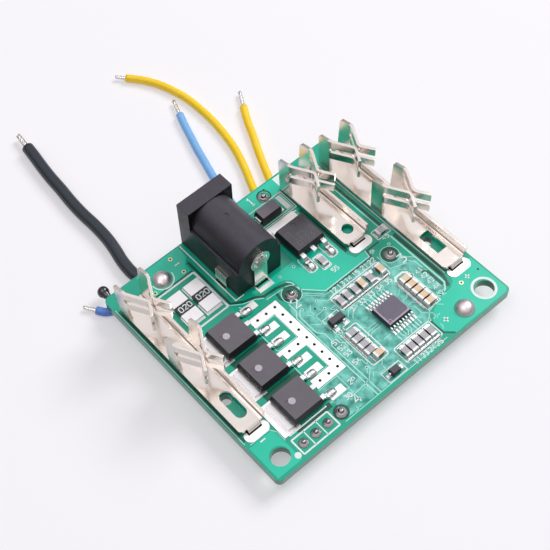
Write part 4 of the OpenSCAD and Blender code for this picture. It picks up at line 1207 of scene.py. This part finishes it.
FRAME_LINES = {
    0.44: (ring_line(48.1, 3.2, 1.96, 32),),
    0.4: (
        ((28.4, 15.6), (38.6, 15.6)),
        ((38.25, 7.0), (38.25, 13.6), (38.9, 14.35), (40.5, 14.35), (41.2, 13.7)),
        ((29.3, 1.75), (36.5, 1.75)),
    ),
    0.34: (rounded(6.25, 28.95, 14.8, 38.0, 0.25),),
    0.32: (((28.6, 35.3), (29.4, 35.75), (36.2, 35.75)),),
    0.3: (((6.3, 11.6), (6.3, 5.0)),),
    0.28: (rounded(6.1, 0.95, 13.6, 3.95, 0.15),),
    0.24: (((6.4, 4.7), (14.2, 4.7)),),
    0.22: (
        rounded(28.1, 15.45, 38.95, 18.75, 0.5), rounded(29.2, 24.35, 31.0, 28.0, 0.6),
        rounded(33.8, 24.35, 35.6, 28.0, 0.6), rounded(31.35, 23.4, 33.05, 26.4, 0.2),
    ),
    0.2: (
        ((16.45, 43.75), (16.45, 28.9), (18.2, 28.9)), rounded(24.6, 4.9, 28.1, 12.6, 0.4),
        rounded(29.0, 1.6, 36.9, 4.9, 0.4), ((45.55, 9.6), (45.55, 40.7)),
        ring_line(10.0, 40.5, 2.05, 32)[16:],
    ),
    0.18: (
        ((8.55, 0.95), (8.55, 3.95)), ((11.1, 0.95), (11.1, 3.95)),
    ),
    0.16: (
        rounded(28.9, 36.35, 36.85, 40.6, 0.1), ((41.3, 13.6), (41.3, 6.4), (38.3, 6.4)),
        rounded(42.2, 21.65, 45.2, 23.55, 0.2),
    ),
    0.14: (
        ((29.2, 36.75), (36.45, 36.75), (36.45, 40.4)),
        ((24.3, 16.4), (27.5, 16.4), (27.5, 13.3), (24.3, 13.3), (24.3, 16.4)),
        ((24.4, 3.0), (28.2, 3.0), (28.2, 0.9), (24.4, 0.9), (24.4, 3.0)),
    ),
}
FILLED_PRINT = (
    ((35.25, 36.95), (36.2, 36.95), (36.2, 40.2), (35.25, 40.2)),
    ((37.6, 43.6), (40.1, 43.6), (37.6, 41.0)),
    ((28.9, 39.2), (29.2, 39.2), (29.2, 40.5), (28.9, 40.5)),
    ring_line(5.25, 1.45, 0.55, 20)[:-1],
)
SIGNS = (
    ("-", 13.3, 40.4, 1.5, 0.22), ("1", 31.0, 41.6, 1.7, 0.24), ("2", 22.8, 21.0, 1.7, 0.24),
    ("3", 41.9, 15.6, 1.6, 0.24), ("+", 39.2, 20.1, 1.2, 0.2), ("+", 38.7, 2.4, 1.6, 0.26),
    ("+", 47.3, 5.9, 1.4, 0.24), ("-", 2.4, 6.2, 1.5, 0.24), ("4", 18.1, 1.7, 1.6, 0.24),
)
NUMBERS = (
    ("12 13 14 15 21 22", (29.0, 30.7, 32.4, 34.1, 36.0, 37.7), (19.05,)),
    ("31 32 33 34 35", (29.2, 31.0, 33.0, 35.0, 36.9), (14.35,)),
    ("41 42 43 44", (42.1,), (12.4, 11.1, 9.7, 8.3)),
    ("51 52 53 54", (22.6,), (11.7, 10.3, 8.9, 6.9)),
    ("11 23 24 25", (29.9, 31.5, 33.1, 34.7), (0.55,)),
    ("55", (32.2,), (22.0,)), ("45", (42.9,), (21.0,)), ("10", (24.6,), (12.55,)),
    ("20", (19.6,), (4.9,)), ("30", (17.3,), (3.3,)),
)


@dataclass
class BoardSurface:
    """Pours and tracks that show through the mask, mask gaps, vias and white print."""

    pour_rise: float = 0.008
    field_rise: float = 0.004
    gap_rise: float = 0.014
    track_rise: float = 0.022
    print_rise: float = 0.034
    pad_rise: float = 0.07
    hole_room: float = 1.72
    hole_sides: int = 12
    via_sides: int = 18
    masked_via: tuple[float, float] = (0.3, 0.13)
    bare_via: tuple[float, float] = (0.38, 0.2)
    fan_width: float = 0.16
    run_width: float = 0.13
    run_count: int = 46
    number_height: float = 0.78
    number_width: float = 0.15
    seed: int = 7

    def pours(self) -> None:
        """Copper pours that lie brighter under the mask."""
        sketch = Sketch()
        sketch.fill(POURS, self.pour_rise)
        for hole, outline in PIERCED_POURS.items():
            corners = [on_board(x, y) for x, y in outline]
            sketch.pierced_slab(corners, on_board(*hole), self.hole_room, self.pour_rise)
        sketch.piece("copper_pours", "mask_over_pour", "solder_mask")

    def fine_tracks_and_glare(self) -> None:
        """Field of fine tracks round the controller, its pale mottling partly painted glare on the
        mask.
        """
        sketch = Sketch()
        sketch.fill((FINE_TRACK_AND_GLARE_FIELD,), self.field_rise)
        sketch.piece("fine_tracks_and_glare", "mask_over_fine_tracks_and_glare", "solder_mask")

    def gaps(self) -> None:
        """Dark lines of bare laminate between the pours, and dark slabs of painted shade between
        the switches.
        """
        sketch = Sketch()
        sketch.draw(GAP_LINES, self.gap_rise)
        sketch.fill(SWITCH_GAP_SHADE, self.gap_rise)
        sketch.piece("mask_gaps_and_shade", "mask_over_gap_and_shade", "solder_mask")

    def pin_fans(self) -> Drawing:
        """Tracks that leave the controller's pins, and short runs between the small parts.

        Returns:
            The lines.
        """
        shuffle = random.Random(self.seed)
        fans, runs = [], []
        for pin in solids_of("controller_pins"):
            x, y = (pin.centre - BOARD.low).xy
            start, away = (13.6, 1) if y > 10 else (6.4, -1)
            bend = shuffle.uniform(0.3, 0.9)
            lean = shuffle.choice((-0.5, 0.0, 0.5))
            end = start + away * shuffle.uniform(1.0, 1.6)
            first, second = start + away * bend, start + away * (bend + abs(lean))
            fans.append(((x, start), (x, first), (x + lean, second), (x + lean, end)))
        for _ in range(self.run_count):
            x, y = shuffle.uniform(15.5, 43.2), shuffle.uniform(1.0, 19.2)
            under_controller = 29.6 < x < 37.4 and 6.4 < y < 13.6
            on_comb = x < 22.0 and 4.6 < y < 25.0
            if under_controller or on_comb:
                continue
            run = shuffle.uniform(0.5, 1.5)
            step = shuffle.choice(((1, 0), (0, 1), (0.7, 0.7), (0.7, -0.7)))
            turn = shuffle.choice(((1, 0), (0, 1), (0.7, -0.7)))
            bend_x, bend_y = x + run * step[0], y + run * step[1]
            last = (bend_x + 0.6 * turn[0], bend_y + 0.6 * turn[1])
            runs.append(((x, y), (bend_x, bend_y), last))
        return {self.fan_width: tuple(fans), self.run_width: tuple(runs)}

    def tracks(self) -> None:
        """Raised lines of the tracks and of the pours' edges under the mask."""
        sketch = Sketch()
        sketch.draw(TRACK_LINES, self.track_rise)
        sketch.draw(self.pin_fans(), self.track_rise)
        sketch.piece("raised_tracks", "mask_over_track", "solder_mask")

    def vias(self) -> None:
        """Plated holes, some bare and some under mask."""
        masked, bare, holes = Sketch(), Sketch(), Sketch()
        # Dark discs fill the holes as painted shade inside them.
        fills = ((MASKED_VIAS, self.masked_via[1]), (BARE_VIAS, 0.21), (PLAIN_HOLES, 0.2))
        for spots, radius in fills:
            for spot in spots:
                holes.slab(circle(on_board(*spot), radius, self.hole_sides), self.track_rise)
        kinds = ((masked, MASKED_VIAS, self.masked_via), (bare, BARE_VIAS, self.bare_via))
        for sketch, spots, radii in kinds:
            for spot in spots:
                sketch.ring(on_board(*spot), *radii, self.print_rise, self.via_sides)
        masked.piece("masked_vias", "mask_over_track", "solder_mask")
        bare.piece("bare_vias", "bare_ring", "tinned_copper")
        holes.piece("via_holes", "via_hole", "solder_mask")

    def bare_pads(self) -> None:
        """Tinned pads of the place that is left empty in the upper row."""
        sketch = Sketch()
        sketch.fill(EMPTY_PADS, self.pad_rise)
        sketch.piece("empty_pads", "tinned_copper", "tinned_copper")

    def white_print(self) -> None:
        """Frames, figures, signs and filled marks of the white print."""
        sketch = Sketch()
        sketch.draw(FRAME_LINES, self.print_rise)
        sketch.fill(FILLED_PRINT, self.print_rise)
        for text, x, y, height, width in SIGNS:
            sketch.write(text, on_board(x, y), height, width, self.print_rise)
        size = (self.number_height, self.number_width)
        for row, columns, rows in NUMBERS:
            spots = [(x, y) for x in columns for y in rows]
            for text, spot in zip(row.split(), spots):
                sketch.write(text, on_board(*spot), *size, self.print_rise)
        sketch.piece("white_print", "white_print", "solder_mask")

    def build(self) -> None:
        """Make all layers from the lowest to the highest."""
        self.fine_tracks_and_glare()
        self.pours()
        self.gaps()
        self.tracks()
        self.vias()
        self.bare_pads()
        self.white_print()


# Solder and package details


@dataclass
class SolderWork:
    """Solder that climbs the ends of the small parts and covers the switch leads."""

    reach: float = 0.24
    climb: float = 0.3
    climb_share: float = 0.75
    spread: float = 0.03
    tuck: float = 0.05
    end_taper: float = 0.35
    hollow: float = 2.2
    low_lead: float = 0.2
    tab_length: float = 4.5
    lead_lift: float = 0.1
    lead_run: float = 2.0
    lead_overlap: float = 1.55
    lead_steps: int = 10
    swell_width: float = 0.26
    swell_height: float = 0.62
    tap_reach: float = 1.2
    tap_steps: int = 8
    tap_collar: float = 0.12

    def chip_fillets(self) -> None:
        """Hollow wedge of solder at each end cap of the chip parts."""
        bodies = [b.centre for b in solids_of("chip_resistors") + solids_of("chip_capacitors")]
        sketch = Sketch()
        for cap in solids_of("chip_end_caps"):
            nearest = min(bodies, key=lambda c: (c.xy - cap.centre.xy).length)
            run = cap.centre - nearest
            if abs(run.x) > abs(run.y):
                away = Vector((math.copysign(1, run.x), 0, 0))
            else:
                away = Vector((0, math.copysign(1, run.y), 0))
            side = Vector((-away.y, away.x, 0))
            half = abs(cap.size.dot(side)) / 2 + self.spread
            face = cap.centre + away * (abs(cap.size.dot(away)) / 2)
            climb = min(self.climb, self.climb_share * cap.size.z)
            rings = []
            for share in (-1.0, -0.8, 0.0, 0.8, 1.0):
                narrow = 1 - self.end_taper * share**4
                reach, height = self.reach * narrow, climb * narrow
                profile = [(-self.tuck, 0.0), (-self.tuck, height)]
                for t in (0.2, 0.4, 0.6, 0.8, 1.0):
                    profile.append((reach * t, height * (1 - t) ** self.hollow))
                foot = Vector((face.x, face.y, cap.low.z)) + side * (share * half)
                rings.append([foot + away * u + Vector((0, 0, v)) for u, v in profile])
            sketch.loft(rings)
        sketch.piece("chip_fillets", "soldered_joint", "solder")

    def lead_solder(self) -> None:
        """Rounded solder over the feet of the switches' outer leads."""
        sketch = Sketch()
        for switch in ("front", "middle", "rear", "charge"):
            for lead in solids_of(f"{switch}_switch_leads"):
                raised = lead.low.z - BOARD.high.z > self.low_lead
                if raised or max(lead.size.xy) > self.tab_length:
                    continue
                if lead.size.x > lead.size.y:
                    along, end = Vector((1, 0, 0)), Vector((lead.high.x, lead.centre.y, 0))
                else:
                    along, end = Vector((0, -1, 0)), Vector((lead.centre.x, lead.low.y, 0))
                end.z = BOARD.high.z + self.lead_lift
                side = Vector((-along.y, along.x, 0))
                rings = []
                for t in (i / self.lead_steps for i in range(self.lead_steps + 1)):
                    swell = max(0.0, math.sin(math.pi * (0.08 + 0.92 * t))) ** 0.6
                    wide = min(lead.size.xy) / 2 + 0.02 + self.swell_width * swell
                    tall = 0.1 + self.swell_height * swell
                    foot = end - along * (self.lead_overlap - self.lead_run * t)
                    turns = [math.pi * k / 8 for k in range(9)]
                    arch = [(wide * math.cos(a), tall * math.sin(a) ** 0.8) for a in turns]
                    rings.append([foot + side * u + Vector((0, 0, v)) for u, v in arch])
                sketch.loft(rings)
        sketch.piece("lead_solder", "soldered_joint", "solder", smooth=True)

    def tap_joints(self) -> None:
        """Hollow cones of dark solder round the cut wires of the tap and header joints."""
        sketch = Sketch()
        for joint in solids_of("lead_joints"):
            radius = joint.size.x / 2
            if radius > self.tap_reach or joint.high.z < BOARD.high.z:
                continue
            rise = joint.high.z - BOARD.high.z
            foot = Vector((joint.centre.x, joint.centre.y, BOARD.high.z))
            profile = [(radius + 0.06, 0.0), (radius + 0.05, self.tap_collar)]
            for t in (k / self.tap_steps for k in range(1, self.tap_steps)):
                height = self.tap_collar + (rise - 0.02) * t**1.5
                profile.append((radius * (1.04 - 0.62 * t**0.8), height))
            for share, over in ((0.36, 0.06), (0.3, 0.16), (0.12, 0.2)):
                profile.append((share * radius, rise + over))
            sketch.revolve(profile, foot, 28)
        sketch.piece("tap_joints", "dark_solder", "solder", smooth=True)

    def build(self) -> None:
        """Make all the solder."""
        self.chip_fillets()
        self.lead_solder()
        self.tap_joints()


@dataclass
class PackageMarks:
    """Marks on the tops of the packages."""

    dot_radius: float = 0.6
    dot_depth: float = 0.06
    dot_shift: float = 1.0
    rise: float = 0.012
    rim: float = 0.55
    back_rim: float = 0.3
    sink: float = 0.01
    pin_ring: Point = (0.8, 0.8)
    figure_height: float = 0.95
    charge_rows: tuple[str, ...] = ("12345", "01234")

    def switch_dots(self) -> None:
        """Pale ejector mark on each switch of the column."""
        sketch = Sketch()
        for switch in ("front", "middle", "rear"):
            case = node_block(f"{switch}_switch_case")
            x = case.centre.x - self.dot_shift
            middle = Vector((x, case.centre.y, case.high.z - self.dot_depth))
            sketch.slab(circle(middle, self.dot_radius, 28), self.dot_depth + self.rise)
        sketch.piece("switch_dots", "package_mark", "package_epoxy")

    def controller_face(self) -> None:
        """Darker field on the controller's top, and the ring at its first pin."""
        case = node_block("controller_case")
        low, high = case.low - BOARD.low, case.high - BOARD.low
        top = case.high.z - BOARD.high.z
        right, back = high.x - self.back_rim, high.y - self.back_rim
        outline = rounded(low.x + self.rim, low.y + self.rim, right, back, 0.5)[:-1]
        face = Sketch()
        face.slab([on_board(x, y, top - self.sink) for x, y in outline], self.sink + self.rise)
        face.piece("controller_face", "controller_face", "package_epoxy")
        dot = Sketch()
        spot = on_board(low.x + self.pin_ring[0], low.y + self.pin_ring[1], top)
        dot.ring(spot, 0.34, 0.22, 1.8 * self.rise, 20)
        dot.piece("first_pin_ring", "controller_epoxy", "package_epoxy")

    def shunt_figures(self) -> None:
        """Plain figures on the dark bands of the two sense resistors."""
        sketch = Sketch()
        for body in solids_of("shunt_bodies"):
            corner = Vector((body.centre.x - 1.05, body.centre.y - 0.45, body.high.z))
            sketch.write("020", corner, self.figure_height, 0.17, self.rise)
        sketch.piece("shunt_figures", "white_print", "resistor_coating")

    def charge_switch_marks(self) -> None:
        """Faint plain figures and a ring on the charge switch."""
        case = node_block("charge_switch_case")
        left = Vector((case.low.x, case.centre.y, case.high.z))
        sketch = Sketch()
        sketch.ring(left + Vector((1.15, 0.9, 0)), 0.55, 0.4, self.rise, 24)
        for row, text in enumerate(self.charge_rows):
            corner = left + Vector((1.3, -0.9 - 1.25 * row, 0))
            sketch.write(text, corner, self.figure_height, 0.15, self.rise)
        sketch.piece("charge_switch_marks", "faint_mark", "package_epoxy")

    def build(self) -> None:
        """Make all the marks."""
        self.switch_dots()
        self.controller_face()
        self.shunt_figures()
        self.charge_switch_marks()


# Assembly


def main() -> None:
    """Build the studio, the leads and the board's looks, in that order."""
    logging.basicConfig(level=logging.INFO, format="%(message)s")
    Studio().build()
    for lead in LEADS:
        lead.build()
    BoardSurface().build()
    SolderWork().build()
    PackageMarks().build()
    dress_nodes()


if __name__ == "__main__":
    main()
